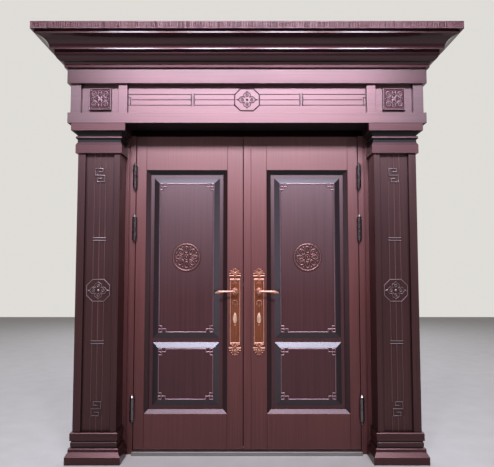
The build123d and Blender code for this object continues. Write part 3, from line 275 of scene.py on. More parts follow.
@dataclass(frozen=True)
class Lacquer:
    """Rosewood-coloured lacquer over brushed metal, under a clear coat.

    The colour runs in streaks along the grain, from `deep` to `warm`, and darkens in the
    corners of carving where `crevice` is above zero, as far from them as `reach`: painted shade,
    with grime. `brushed` is how far highlights are drawn out across the grain, and `foot` the share
    of the colour near the floor, so that the colour darkens towards the bottom as painted shade.
    `coat_foot` is the share of the clear coat that is left below hand height, where the door has
    been wiped most. `front` is the share of colour and coat on the face towards the approach; below
    one it paints that face near black, as painted shade under the lintel.
    `FRONT`, `FOOT` and `HAND` are the stretches along Y and up Z over which these shares change.
    """

    FRONT: ClassVar[Point2] = (8 * MM, 30 * MM)
    FOOT: ClassVar[Point2] = (0.1, 1.3)
    HAND: ClassVar[Point2] = (1.0, 2.0)
    # The colour that corners of carving darken to: painted shade, with grime.
    GRIME_AND_SHADE: ClassVar[Colour] = (0.006, 0.003, 0.004)

    name: str
    grain: Grain
    deep: Colour = (0.176, 0.054, 0.048)
    warm: Colour = (0.236, 0.076, 0.068)
    metallic: float = 0.95
    rough: Point2 = (0.47, 0.53)
    coat: float = 0.85
    coat_foot: float = 1.0
    coat_rough: float = 0.38
    coat_ior: float = 1.62
    crevice: float = 0.0
    reach: float = 12 * MM
    brushed: float = 0.0
    foot: float = 0.68
    front: float = 1.0
    streaks_per_metre: float = 130.0
    hairs_per_metre: float = 480.0

    def material(self) -> bpy.types.Material:
        """Builds the finish.

        Returns:
            The material.
        """
        nodes = Nodes(self.name)
        streak = nodes.noise(tuple(self.streaks_per_metre * way for way in self.grain.value), 4.0)
        hair = nodes.noise(tuple(self.hairs_per_metre * way for way in self.grain.value), 2.0)
        cloud = nodes.noise((1.7, 1.7, 1.1), 2.0)
        colour = nodes.ramp(streak, [(0.3, self.deep), (0.72, self.warm)])
        tone = nodes.ramp(cloud, [(0.3, (0.84, 0.82, 0.84)), (0.7, (1.0, 1.0, 1.0))])
        colour = nodes.blend(nodes.span(hair, (0.2, 0.8), (0.9, 1.0)), BLACK, colour)
        colour = nodes.blend(nodes.span(streak, (0.0, 1.0), (0.8, 1.0)), colour, tone, "MULTIPLY")
        # Darker towards the floor: painted shade.
        colour = nodes.blend(nodes.along("Z", self.FOOT, (self.foot, 1.0)), BLACK, colour)
        # Darker in the corners of carving: painted shade, with grime.
        if self.crevice:
            shade = nodes.span(nodes.crevice(self.reach), (0.35, 0.95), (1.0 - self.crevice, 1.0))
            colour = nodes.blend(shade, self.GRIME_AND_SHADE, colour)
        # Near black on the front of a rail: painted shade.
        if self.front < 1.0:
            colour = nodes.blend(nodes.along("Y", self.FRONT, (self.front, 1.0)), BLACK, colour)
        nodes.join(colour, nodes.shader.inputs["Base Color"])
        nodes.join(nodes.span(hair, (0.25, 0.75), self.rough), nodes.shader.inputs["Roughness"])
        nodes.bump(hair, 0.12, 0.3 * MM)
        nodes.set(Metallic=self.metallic, Coat_Weight=self.coat)
        nodes.set(Coat_Roughness=self.coat_rough, Coat_IOR=self.coat_ior)
        if self.coat_foot < 1.0:
            weight = nodes.along("Z", self.HAND, (self.coat * self.coat_foot, self.coat))
            nodes.join(weight, nodes.shader.inputs["Coat Weight"])
        if self.front < 1.0:
            weight = nodes.along("Y", self.FRONT, (self.coat * self.front, self.coat))
            nodes.join(weight, nodes.shader.inputs["Coat Weight"])
        across = 0.25 if self.grain is Grain.LEVEL else 0.0
        nodes.set(Anisotropic=self.brushed, Anisotropic_Rotation=across)
        return nodes.material


@dataclass(frozen=True)
class CastMetal:
    """A cast or brushed metal: bright where it is open, toned where grime settles."""

    name: str
    bright: Colour
    toned: Colour
    rough: Point2
    crevice: float = 0.8
    brush: Point3 = (60.0, 60.0, 60.0)
    bump: float = 0.08
    reach: float = 7 * MM

    def material(self) -> bpy.types.Material:
        """Builds the finish.

        Returns:
            The material.
        """
        nodes = Nodes(self.name)
        cloud = nodes.noise(self.brush, 4.0)
        colour = nodes.ramp(cloud, [(0.3, tuple(0.72 * part for part in self.bright)), (0.68, self.bright)])
        shade = nodes.span(nodes.crevice(self.reach), (0.3, 0.92), (1.0 - self.crevice, 1.0))
        colour = nodes.blend(shade, self.toned, colour)
        nodes.join(colour, nodes.shader.inputs["Base Color"])
        nodes.join(nodes.span(cloud, (0.3, 0.7), self.rough), nodes.shader.inputs["Roughness"])
        nodes.bump(cloud, self.bump, 0.3 * MM)
        nodes.set(Metallic=1.0)
        return nodes.material


@dataclass(frozen=True)
class Rubber:
    """Black seal strip with a faint mottle."""

    name: str
    colour: Colour

    def material(self) -> bpy.types.Material:
        """Builds the finish.

        Returns:
            The material.
        """
        nodes = Nodes(self.name)
        mottle = nodes.noise((300.0, 300.0, 300.0))
        tint = nodes.ramp(mottle, [(0.3, self.colour), (0.8, tuple(2 * part for part in self.colour))])
        nodes.join(tint, nodes.shader.inputs["Base Color"])
        nodes.set(Roughness=0.75)
        return nodes.material


class Finishes:
    """All finishes of the door, each built once. Several rosewood lacquers are lighter or darker copies of
    one lacquer, for parts that stand in light or in shade: painted light and shade.
    """

    def __init__(self) -> None:
        """Builds the materials."""
        toned_copper = (0.075, 0.026, 0.018)
        glaze = {"coat": 1.0, "coat_foot": 0.22, "coat_ior": 1.8}
        self.upright = Lacquer("rosewood_upright", Grain.UPRIGHT, **glaze).material()
        lintel = {"deep": (0.130, 0.043, 0.044), "warm": (0.172, 0.060, 0.061), "rough": (0.37, 0.43),
                  "coat": 0.9, "coat_rough": 0.42, "coat_ior": 1.8, "brushed": 0.7}
        self.level = Lacquer("rosewood_level", Grain.LEVEL, **lintel).material()
        # A darker copy for the lintel's top board, under the cornice: painted shade.
        self.top_board = Lacquer(
            "shaded_top_board_rosewood", Grain.LEVEL, deep=(0.092, 0.030, 0.031), warm=(0.122, 0.042, 0.043),
            rough=(0.36, 0.42), coat=0.9, coat_rough=0.28, brushed=0.7,
        ).material()
        self.carved_level = Lacquer(
            "carved_rosewood_level", Grain.LEVEL, crevice=0.85, reach=6 * MM, **lintel
        ).material()
        self.carved_upright = Lacquer(
            "carved_rosewood_upright", Grain.UPRIGHT, deep=(0.103, 0.035, 0.037), warm=(0.140, 0.049, 0.052),
            rough=(0.42, 0.47), crevice=0.8, coat=1.0, coat_foot=0.16, coat_ior=2.0,
        ).material()
        # Darker copies of the lacquer for the pilasters and plinths, which stand aside from the lamps:
        # painted shade.
        antique_shade = {"deep": (0.084, 0.032, 0.030), "warm": (0.122, 0.048, 0.045), "rough": (0.36, 0.42),
                   "coat": 0.6, "coat_foot": 0.3, "coat_rough": 0.34, "coat_ior": 1.7}
        self.antique_shaded_upright = Lacquer("antique_shaded_rosewood_upright", Grain.UPRIGHT, **antique_shade).material()
        self.antique_shaded_level = Lacquer("antique_shaded_rosewood_level", Grain.LEVEL, **antique_shade).material()
        self.antique_carved = Lacquer(
            "antique_shaded_rosewood_carved", Grain.UPRIGHT, crevice=0.8, **antique_shade
        ).material()
        # A dark copy for the crown, whose faces look down: painted shade.
        self.cornice = Lacquer(
            "shaded_cornice_rosewood", Grain.LEVEL, deep=(0.040, 0.013, 0.014), warm=(0.060, 0.020, 0.022),
            rough=(0.32, 0.38), coat=0.7, coat_rough=0.14, coat_ior=1.5,
        ).material()
        self.slab = Lacquer(
            "slab_rosewood", Grain.LEVEL, deep=(0.055, 0.017, 0.018), warm=(0.086, 0.028, 0.030),
            rough=(0.33, 0.39), crevice=0.9, reach=5 * MM, coat=0.4, coat_rough=0.15, coat_ior=1.5,
        ).material()
        # A lighter copy for the pilasters' raised bars, frets and flowers, whose tops catch the light:
        # painted highlight, with wear.
        self.worn_and_lit = Lacquer(
            "worn_and_lit_rosewood", Grain.LEVEL, deep=(0.33, 0.23, 0.22), warm=(0.47, 0.34, 0.325),
            rough=(0.32, 0.40), crevice=0.6, reach=5 * MM, coat=0.6, coat_foot=0.4, coat_rough=0.2, foot=0.45,
        ).material()
        # The frame head's front is painted near black: painted shade under the lintel.
        self.head = Lacquer("head_shaded_front_rosewood", Grain.LEVEL, front=0.03).material()
        self.lined = Lacquer(
            "lined_rosewood", Grain.UPRIGHT, deep=(0.25, 0.120, 0.112), warm=(0.36, 0.178, 0.166),
            rough=(0.36, 0.44), coat=0.5, coat_foot=0.4, coat_rough=0.3,
        ).material()
        # A dark copy for the field bevels: painted shade.
        self.shaded = Lacquer(
            "shaded_rosewood", Grain.UPRIGHT, deep=(0.020, 0.008, 0.010), warm=(0.030, 0.012, 0.015),
            metallic=0.6, rough=(0.32, 0.38), coat=0.95, coat_rough=0.32, coat_ior=1.5,
        ).material()
        # A dark copy for the slopes of the panel mouldings: painted shade.
        self.shaded_edging = Lacquer(
            "shaded_edging_rosewood", Grain.UPRIGHT, deep=(0.044, 0.018, 0.018), warm=(0.066, 0.027, 0.027),
            metallic=0.8, rough=(0.36, 0.42), coat=0.45, coat_foot=0.45, coat_rough=0.26, coat_ior=1.5,
        ).material()
        # A dark copy for the frieze's lines and flower and the ground of the corner blocks: painted shade.
        self.shaded_groove = Lacquer(
            "shaded_groove_rosewood", Grain.LEVEL, deep=(0.060, 0.016, 0.021), warm=(0.085, 0.023, 0.030),
            rough=(0.40, 0.46), crevice=0.6, reach=5 * MM, coat=0.4, coat_rough=0.3, coat_ior=1.5,
        ).material()
        # Near black for hollows, undersides and the strips under bars: painted shade.
        self.recess = Lacquer(
            "painted_shade_rosewood", Grain.LEVEL, deep=(0.004, 0.002, 0.002), warm=(0.007, 0.003, 0.003),
            metallic=0.3, rough=(0.55, 0.65), coat=0.0,
        ).material()
        self.capital = Lacquer(
            "capital_rosewood", Grain.LEVEL, deep=(0.105, 0.035, 0.036), warm=(0.145, 0.050, 0.052),
            rough=(0.40, 0.46), coat=0.7, coat_rough=0.36,
        ).material()
        # A lighter copy for the leaf panels' beads and frets, whose tops catch the light: painted highlight,
        # with wear.
        self.rubbed_and_lit = Lacquer(
            "rubbed_and_lit_rosewood", Grain.LEVEL, deep=(0.26, 0.135, 0.145), warm=(0.34, 0.19, 0.20),
            metallic=0.85, rough=(0.28, 0.36), crevice=0.5, reach=6 * MM, coat=0.6,
        ).material()
        self.block = Lacquer(
            "carved_block", Grain.LEVEL, deep=(0.17, 0.094, 0.098), warm=(0.32, 0.195, 0.205),
            rough=(0.40, 0.46), crevice=0.97, reach=8 * MM, coat=0.4,
        ).material()
        self.medallion = Lacquer(
            "medallion_copper", Grain.UPRIGHT, deep=(0.190, 0.072, 0.058), warm=(0.270, 0.108, 0.090),
            metallic=0.9, rough=(0.38, 0.46), crevice=0.8, reach=5 * MM, coat=0.5,
        ).material()
        self.plate = CastMetal(
            "brushed_copper", (0.335, 0.102, 0.052), toned_copper, (0.36, 0.48), brush=(240.0, 240.0, 8.0)
        ).material()
        self.cast = CastMetal(
            "cast_copper", (0.78, 0.415, 0.295), toned_copper, (0.40, 0.52), crevice=0.7, reach=3 * MM
        ).material()
        self.cover = CastMetal(
            "polished_copper", (1.0, 0.61, 0.44), toned_copper, (0.38, 0.48), crevice=0.5
        ).material()
        self.bronze = CastMetal(
            "hinge_bronze", (0.185, 0.158, 0.155), (0.02, 0.016, 0.016), (0.24, 0.34)
        ).material()
        # A lighter copy of the bronze for the upper hinge cones, which face the light: painted highlight.
        self.lit_bronze_tip = CastMetal(
            "lit_hinge_tip", (0.38, 0.31, 0.29), (0.08, 0.06, 0.06), (0.28, 0.40)
        ).material()
        self.sill = CastMetal(
            "sill_brushed", (0.33, 0.30, 0.28), (0.10, 0.09, 0.09), (0.3, 0.5), brush=(4.0, 300.0, 300.0)
        ).material()
        self.lock = CastMetal("lock_brushed", (0.5, 0.5, 0.5), (0.08, 0.08, 0.08), (0.3, 0.45)).material()
        self.seal = Rubber("black_rubber", (0.012, 0.012, 0.012)).material()


# Surfaces


class Shell:
    """Closed surfaces gathered into one mesh."""

    def __init__(self) -> None:
        """Starts with no surface."""
        self.points: list[np.ndarray] = []
        self.faces: list[list[int]] = []
        self.slots: list[int] = []
        self.count = 0

    def loft(self, rings: np.ndarray, closed: bool = False, slot: int | np.ndarray = 0) -> None:
        """Adds a skin over rings of points that follow each other, each ring closed.

        Face (i, j) joins points j and j + 1 of rings i and i + 1. The first and last ring are
        filled, or joined to each other where the run is closed.

        Args:
            rings: points by ring, place in the ring, and axis.
            closed: whether the last ring meets the first.
            slot: the material slot of these faces, one or by face.
        """
        runs, around = rings.shape[:2]
        index = self.count + np.arange(runs * around).reshape(runs, around)
        ahead = np.roll(index, -1, axis=0) if closed else index[1:]
        start = index if closed else index[:-1]
        quads = np.stack([start, np.roll(start, -1, 1), np.roll(ahead, -1, 1), ahead], axis=-1)
        faces = quads.reshape(-1, 4).tolist()
        self.slots += np.broadcast_to(slot, len(faces)).tolist()
        if not closed:
            faces += [index[0, ::-1].tolist(), index[-1].tolist()]
            self.slots += [self.slots[-1]] * 2
        self.points.append(rings.reshape(-1, 3))
        self.faces += faces
        self.count += runs * around

    def piece(
        self,
        name: str,
        materials: list[bpy.types.Material],
        body: str,
        nodes: list[str],
        sharp: float = 20.0,
    ) -> None:
        """Makes the object, turns its faces outwards, sets it on its body, and hides the CAD nodes that it
        stands for.

        Args:
            name: the piece's name.
            materials: its material slots.
            body: the body that it rides on.
            nodes: the CAD nodes that it stands for.
            sharp: edges that turn by more degrees than this stay sharp.
        """
        mesh = bpy.data.meshes.new(name)
        mesh.from_pydata(np.concatenate(self.points).tolist(), [], self.faces)
        mesh.polygons.foreach_set("material_index", self.slots)
        for material in materials:
            mesh.materials.append(material)
        work = bmesh.new()
        work.from_mesh(mesh)
        bmesh.ops.recalc_face_normals(work, faces=work.faces)
        work.to_mesh(mesh)
        work.free()
        mesh.shade_smooth()
        mesh.set_sharp_from_angle(angle=math.radians(sharp))
        thing = bpy.data.objects.new(name, mesh)
        bpy.context.scene.collection.objects.link(thing)
        shading = thing.modifiers.new("even_shading", "WEIGHTED_NORMAL")
        shading.weight = 100
        shading.keep_sharp = True
        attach(thing, body)
        if nodes:
            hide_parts(*nodes)
        LOG.info("%s: %d faces on %s", name, len(self.faces), body)


def eased(place: np.ndarray, stations: np.ndarray, values: np.ndarray) -> np.ndarray:
    """Flows through values at stations, level at each: v0 + (v1 - v0)(3t^2 - 2t^3) between two.

    Args:
        place: where to read it.
        stations: rising places of the values.
        values: the values there.

    Returns:
        The value at each place.
    """
    at, stop = np.asarray(stations), np.asarray(values)
    lower = np.clip(np.searchsorted(at, place, side="right") - 1, 0, len(at) - 2)
    share = np.clip((place - at[lower]) / (at[lower + 1] - at[lower]), 0.0, 1.0)
    return stop[lower] + (stop[lower + 1] - stop[lower]) * share**2 * (3 - 2 * share)


def facing(x: np.ndarray, out: np.ndarray, z: np.ndarray, depth: float) -> np.ndarray:
    """Points over a plane that faces the viewer: (x, depth - out, z).

    Args:
        x: places to the right.
        out: how far each stands out of the plane.
        z: heights.
        depth: the plane's place along Y.

    Returns:
        The points, with the axis last.
    """
    return np.stack(np.broadcast_arrays(x, depth - out, z), axis=-1)


def angles(steps: int) -> np.ndarray:
    """Angles evenly once round."""
    return np.arange(steps) * 2 * math.pi / steps


def rounded(distance: np.ndarray) -> np.ndarray:
    """A half-round section: sqrt(1 - d^2) up to a distance of 1, and nothing beyond."""
    return np.sqrt(np.clip(1 - distance**2, 0, None))


def face_of(low: np.ndarray, high: np.ndarray) -> tuple[Point2, Point2]:
    """The middle (x, z) of the face between two corners, and half its width and height.

    Args:
        low: the lowest corner.
        high: the highest corner.

    Returns:
        The middle and the half sizes.
    """
    middle = ((low[0] + high[0]) / 2, (low[2] + high[2]) / 2)
    half = ((high[0] - low[0]) / 2, (high[2] - low[2]) / 2)
    return middle, half


def soft_rectangle(half_x: float, half_z: float, radius: float, steps: int = 4) -> np.ndarray:
    """A rectangle's outline with quarter-circle corners.

    Args:
        half_x: half its width.
        half_z: half its height.
        radius: of the corners.
        steps: points on each corner, less one.

    Returns:
        Points (x, z) once round.
    """
    turn = (np.arange(4)[:, None] * math.pi / 2 + np.linspace(0, math.pi / 2, steps + 1)[None, :]).ravel()
    sign_x = np.repeat([1, -1, -1, 1], steps + 1)
    sign_z = np.repeat([1, 1, -1, -1], steps + 1)
    x = sign_x * (half_x - radius) + radius * np.cos(turn)
    z = sign_z * (half_z - radius) + radius * np.sin(turn)
    return np.stack([x, z], axis=-1)


def plate_rings(
    middle: Point2, half: Point2, radius: float, levels: list[Point2], depth: float
) -> np.ndarray:
    """Rounded rectangles stacked out of a plane, each drawn in by an inset.

    Args:
        middle: its centre (x, z).
        half: half its width and height.
        radius: of its corners.
        levels: (out, inset) of each ring.
        depth: the plane's place along Y.

    Returns:
        The rings for a loft.
    """
    rings = []
    for out, inset in levels:
        outline = soft_rectangle(half[0] - inset, half[1] - inset, max(radius - inset, MITRE_RADIUS))
        rings.append(facing(middle[0] + outline[:, 0], np.float64(out), middle[1] + outline[:, 1], depth))
    return np.stack(rings)


def board_rings(low: np.ndarray, high: np.ndarray, ease: float) -> np.ndarray:
    """A board between two corners with eased edges, as rings from its back to its front.

    Args:
        low: its lowest corner.
        high: its highest corner.
        ease: how far its edges are taken off.

    Returns:
        The rings for a loft.
    """
    middle, half = face_of(low, high)
    thick = high[1] - low[1]
    levels = [(0.0, ease), (ease, 0.0), (thick - ease, 0.0), (thick - 0.3 * ease, 0.3 * ease), (thick, ease)]
    return plate_rings(middle, half, ease, levels, high[1])


def carried_bar(
    path: np.ndarray,
    width: float | np.ndarray,
    rise: float | np.ndarray,
    depth: float,
    closed: bool = False,
    crease: float = 0.0,
    arc: int = 10,
) -> np.ndarray:
    """A half-round bar carried along a path on a plane.

    The section at angle a is (width / 2 cos a, rise sin a), with a foot below the plane, and a
    crease down the middle that takes crease * rise * exp(-(cos a / 0.2)^2) off its crown. At a
    bend the section lies on the mitre, so it widens by 1 / cos of half the turn.

    Args:
        path: points (x, z).
        width: the bar's width, one or by point.
        rise: its height, one or by point.
        depth: the plane's place along Y.
        closed: whether the path meets its own start.
        crease: share of the rise that the crease takes.
        arc: steps over the crown.

    Returns:
        The rings for a loft.
    """
    run = np.roll(path, -1, 0) - path
    run = run / np.maximum(np.linalg.norm(run, axis=1, keepdims=True), 1e-9)
    before = np.roll(run, 1, 0)
    if not closed:
        run[-1], before[0] = before[-1], run[0]
    across = np.stack([-run[:, 1] - before[:, 1], run[:, 0] + before[:, 0]], axis=-1)
    across /= np.maximum(np.linalg.norm(across, axis=1, keepdims=True), 1e-9)
    lean = np.sum(across * np.stack([-run[:, 1], run[:, 0]], axis=-1), axis=1)
    reach = np.broadcast_to(width, lean.shape) / 2 / np.maximum(lean, 0.35)
    angle = np.linspace(0, math.pi, arc + 1)
    crown = np.sin(angle) - crease * np.exp(-((np.cos(angle) / 0.2) ** 2))
    sideways = np.concatenate([np.cos(angle), [-1.0, 1.0]])
    over = np.concatenate([crown, [0.0, 0.0]])
    foot = np.concatenate([np.zeros(arc + 1), [ORNAMENT_FOOT, ORNAMENT_FOOT]])
    out = np.broadcast_to(rise, lean.shape)[:, None] * over[None, :] - foot[None, :]
    x = path[:, :1] + across[:, :1] * reach[:, None] * sideways[None, :]
    z = path[:, 1:] + across[:, 1:] * reach[:, None] * sideways[None, :]
    return facing(x, out, z, depth)


def round_ended(start: Point2, end: Point2, width: float) -> tuple[np.ndarray, np.ndarray]:
    """A straight run that overshoots both ends by half its width, with the share of its section there.

    Args:
        start: first end of the line.
        end: last end of the line.
        width: the bar's width.

    Returns:
        The path's points and, by point, the share of the full section.
    """
    first, last = np.asarray(start), np.asarray(end)
    along = (last - first) / np.linalg.norm(last - first)
    shifts = np.array([-0.5, -0.42, -0.2, 0.2])[:, None] * width * along
    path = np.concatenate([first + shifts, (last - shifts)[::-1]])
    share = np.array([0.3, 0.6, 0.9, 1.0])
    return path, np.concatenate([share, share[::-1]])


def curve(start: Point2, pull: Point2, end: Point2, steps: int = 12) -> np.ndarray:
    """A quadratic Bezier arc: (1 - t)^2 start + 2 t (1 - t) pull + t^2 end.

    Args:
        start: its first point.
        pull: the point that it leans to.
        end: its last point.
        steps: runs along it.

    Returns:
        Points (x, z).
    """
    t = np.linspace(0, 1, steps + 1)[:, None]
    return (1 - t) ** 2 * np.asarray(start) + 2 * t * (1 - t) * np.asarray(pull) + t**2 * np.asarray(end)


def spiral(middle: Point2, radii: Point2, first: float, turns: float, steps: int = 40) -> np.ndarray:
    """A spiral whose radius changes evenly with its angle.

    Args:
        middle: its centre.
        radii: radius at its start and end.
        first: angle of its start, in degrees.
        turns: how many times it goes round; below zero runs clockwise.
        steps: runs along it.

    Returns:
        Points (x, z).
    """
    share = np.linspace(0, 1, steps + 1)
    angle = math.radians(first) + share * turns * 2 * math.pi
    radius = radii[0] + (radii[1] - radii[0]) * share
    return np.stack([middle[0] + radius * np.cos(angle), middle[1] + radius * np.sin(angle)], axis=-1)


def circle(middle: Point2, radius: float, steps: int = 28) -> np.ndarray:
    """Points (x, z) evenly round a circle."""
    turn = angles(steps)
    return np.stack([middle[0] + radius * np.cos(turn), middle[1] + radius * np.sin(turn)], axis=-1)


def dome(middle: Point2, radii: Point2, rise: float, depth: float, steps: int = 24) -> np.ndarray:
    """Half an ellipsoid on a plane: rings of radius r cos b at a height rise sin b.

    Args:
        middle: its centre (x, z).
        radii: half its width and height.
        rise: how far it stands out.
        depth: the plane's place along Y.
        steps: points in a ring.

    Returns:
        The rings for a loft.
    """
    lift = np.concatenate([[0.0], np.linspace(0, 0.49 * math.pi, 7)])
    turn = angles(steps)
    x = middle[0] + radii[0] * np.cos(lift)[:, None] * np.cos(turn)[None, :]
    z = middle[1] + radii[1] * np.cos(lift)[:, None] * np.sin(turn)[None, :]
    out = rise * np.sin(lift)
    out[0] = -ORNAMENT_FOOT
    return facing(x, out[:, None], z, depth)


def turned(
    middle: Point2, stations: np.ndarray, radii: np.ndarray, depth: float, steps: int = 40
) -> np.ndarray:
    """A turned form on an axis along Y: a circle of each radius at each station out of a plane.

    Args:
        middle: the axis (x, z).
        stations: how far out each circle lies.
        radii: their radii.
        depth: the plane's place along Y.
        steps: points in a circle.

    Returns:
        The rings for a loft.
    """
    turn = angles(steps)
    x = middle[0] + radii[:, None] * np.cos(turn)[None, :]
    z = middle[1] + radii[:, None] * np.sin(turn)[None, :]
    return facing(x, stations[:, None], z, depth)


def turned_upright(middle: Point2, heights: np.ndarray, radii: np.ndarray, steps: int = 36) -> np.ndarray:
    """A turned form on an upright axis: a circle of each radius at each height.

    Args:
        middle: the axis (x, y).
        heights: of the circles.
        radii: of the circles.
        steps: points in a circle.

    Returns:
        The rings for a loft.
    """
    turn = angles(steps)
    x = middle[0] + radii[:, None] * np.cos(turn)[None, :]
    y = middle[1] + radii[:, None] * np.sin(turn)[None, :]
    return np.stack(np.broadcast_arrays(x, y, heights[:, None]), axis=-1)


def add_tile(shell: Shell, grid: np.ndarray, back: float, slots: np.ndarray) -> None:
    """Adds a carved tile: its front grid, its four sides and its flat back.

    Args:
        shell: the mesh that it goes into.
        grid: front points by row, column and axis.
        back: the place of its back along Y.
        slots: the material slot of each face of the front, by row and column.
    """
    rows, columns = grid.shape[:2]
    index = shell.count + np.arange(rows * columns).reshape(rows, columns)
    quads = np.stack([index[:-1, :-1], index[:-1, 1:], index[1:, 1:], index[1:, :-1]], axis=-1).reshape(-1, 4)
    rim = np.concatenate([index[0, :-1], index[:-1, -1], index[-1, :0:-1], index[:0:-1, 0]])
    behind = grid.reshape(-1, 3)[rim - shell.count].copy()
    behind[:, 1] = back
    lower = shell.count + rows * columns + np.arange(len(rim))
    sides = np.stack([rim, lower, np.roll(lower, -1), np.roll(rim, -1)], axis=-1)
    faces = quads.tolist() + sides.tolist() + [lower[::-1].tolist()]
    shell.points += [grid.reshape(-1, 3), behind]
    shell.faces += faces
    shell.slots += slots.ravel().tolist() + [0] * (len(sides) + 1)
    shell.count += rows * columns + len(rim)


def as_arrays(node: str) -> tuple[np.ndarray, np.ndarray]:
    """A node's lowest and highest corner as arrays."""
    low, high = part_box(node)
    return np.array(low), np.array(high)


# Carving


@dataclass
class OctagonFlower:
    """An octagonal rim round a flower of four pointed petals, each with a ring in it.

    `pip` and `boss` are a radius and a rise each, and `petal_arcs` is in millimetres.
    """

    width: float
    height: float
    corner: float = 40 * MM
    rim_width: float = 7 * MM
    rim_rise: float = 5.5 * MM
    backing: float = 1.0 * MM
    line: Point2 = (4.8 * MM, 5 * MM)
    ring_places: Point2 = (31 * MM, 30 * MM)
    ring_radius: float = 8.5 * MM
    pip: Point2 = (3 * MM, 4 * MM)
    boss: Point2 = (8 * MM, 5.5 * MM)
    petal_arcs: tuple[tuple[Point2, Point2, Point2], ...] = (
        ((68, 0), (56, 1), (49, 8)), ((49, 8), (45, 27), (16, 17)),
        ((16, 17), (31, 37), (12, 45)), ((12, 45), (4, 48), (0, 56)),
    )

    def outline(self, inset: float) -> np.ndarray:
        """The octagon drawn in by an inset, as eight corners.

        Args:
            inset: how far it is drawn in.

        Returns:
            Points (x, z) once round.
        """
        half_x, half_z = self.width / 2 - inset, self.height / 2 - inset
        cut = self.corner - inset * (2 - math.sqrt(2))
        corners = [(half_x, half_z - cut), (half_x - cut, half_z)]
        upper = corners + [(-x, z) for x, z in reversed(corners)]
        return np.array(upper + [(x, -z) for x, z in reversed(upper)])

    def petals(self) -> np.ndarray:
        """The flower's edge: arcs in millimetres from the right tip to the top tip, mirrored into the rest.

        Returns:
            Points (x, z) once round.
        """
        quarter = np.concatenate([curve(*arc, 8)[:-1] for arc in self.petal_arcs]) * MM
        tip = np.array([self.petal_arcs[-1][-1]]) * MM
        upper = np.concatenate([quarter, tip, quarter[:0:-1] * [-1, 1]])
        return np.concatenate([upper, upper * [-1, -1]])

    def build(self, shell: Shell, middle: Point2, depth: float) -> None:
        """Adds backing, rim, petals, rings and boss.

        Args:
            shell: the mesh that it goes into.
            middle: its centre (x, z).
            depth: the board's face along Y.
        """
        centre = np.asarray(middle)
        levels = [(-0.5 * MM, 0.0), (0.5 * self.backing, 0.0), (self.backing, 0.6 * MM)]
        rings = [centre + self.outline(inset) for _, inset in levels]
        outs = np.array([out for out, _ in levels])[:, None]
        shell.loft(facing(np.stack(rings)[:, :, 0], outs, np.stack(rings)[:, :, 1], depth))
        rim = centre + self.outline(self.rim_width / 2)
        shell.loft(carried_bar(rim, self.rim_width, self.rim_rise, depth, closed=True), closed=True, slot=1)
        shell.loft(carried_bar(centre + self.petals(), *self.line, depth, closed=True), closed=True, slot=1)
        for x, z in ((1, 0), (0, 1), (-1, 0), (0, -1)):
            at = (middle[0] + x * self.ring_places[0], middle[1] + z * self.ring_places[1])
            ring = carried_bar(circle(at, self.ring_radius), *self.line, depth, closed=True)
            shell.loft(ring, closed=True, slot=1)
            shell.loft(dome(at, (self.pip[0],) * 2, self.pip[1], depth), slot=1)
        shell.loft(dome(middle, (self.boss[0],) * 2, self.boss[1], depth), slot=1)


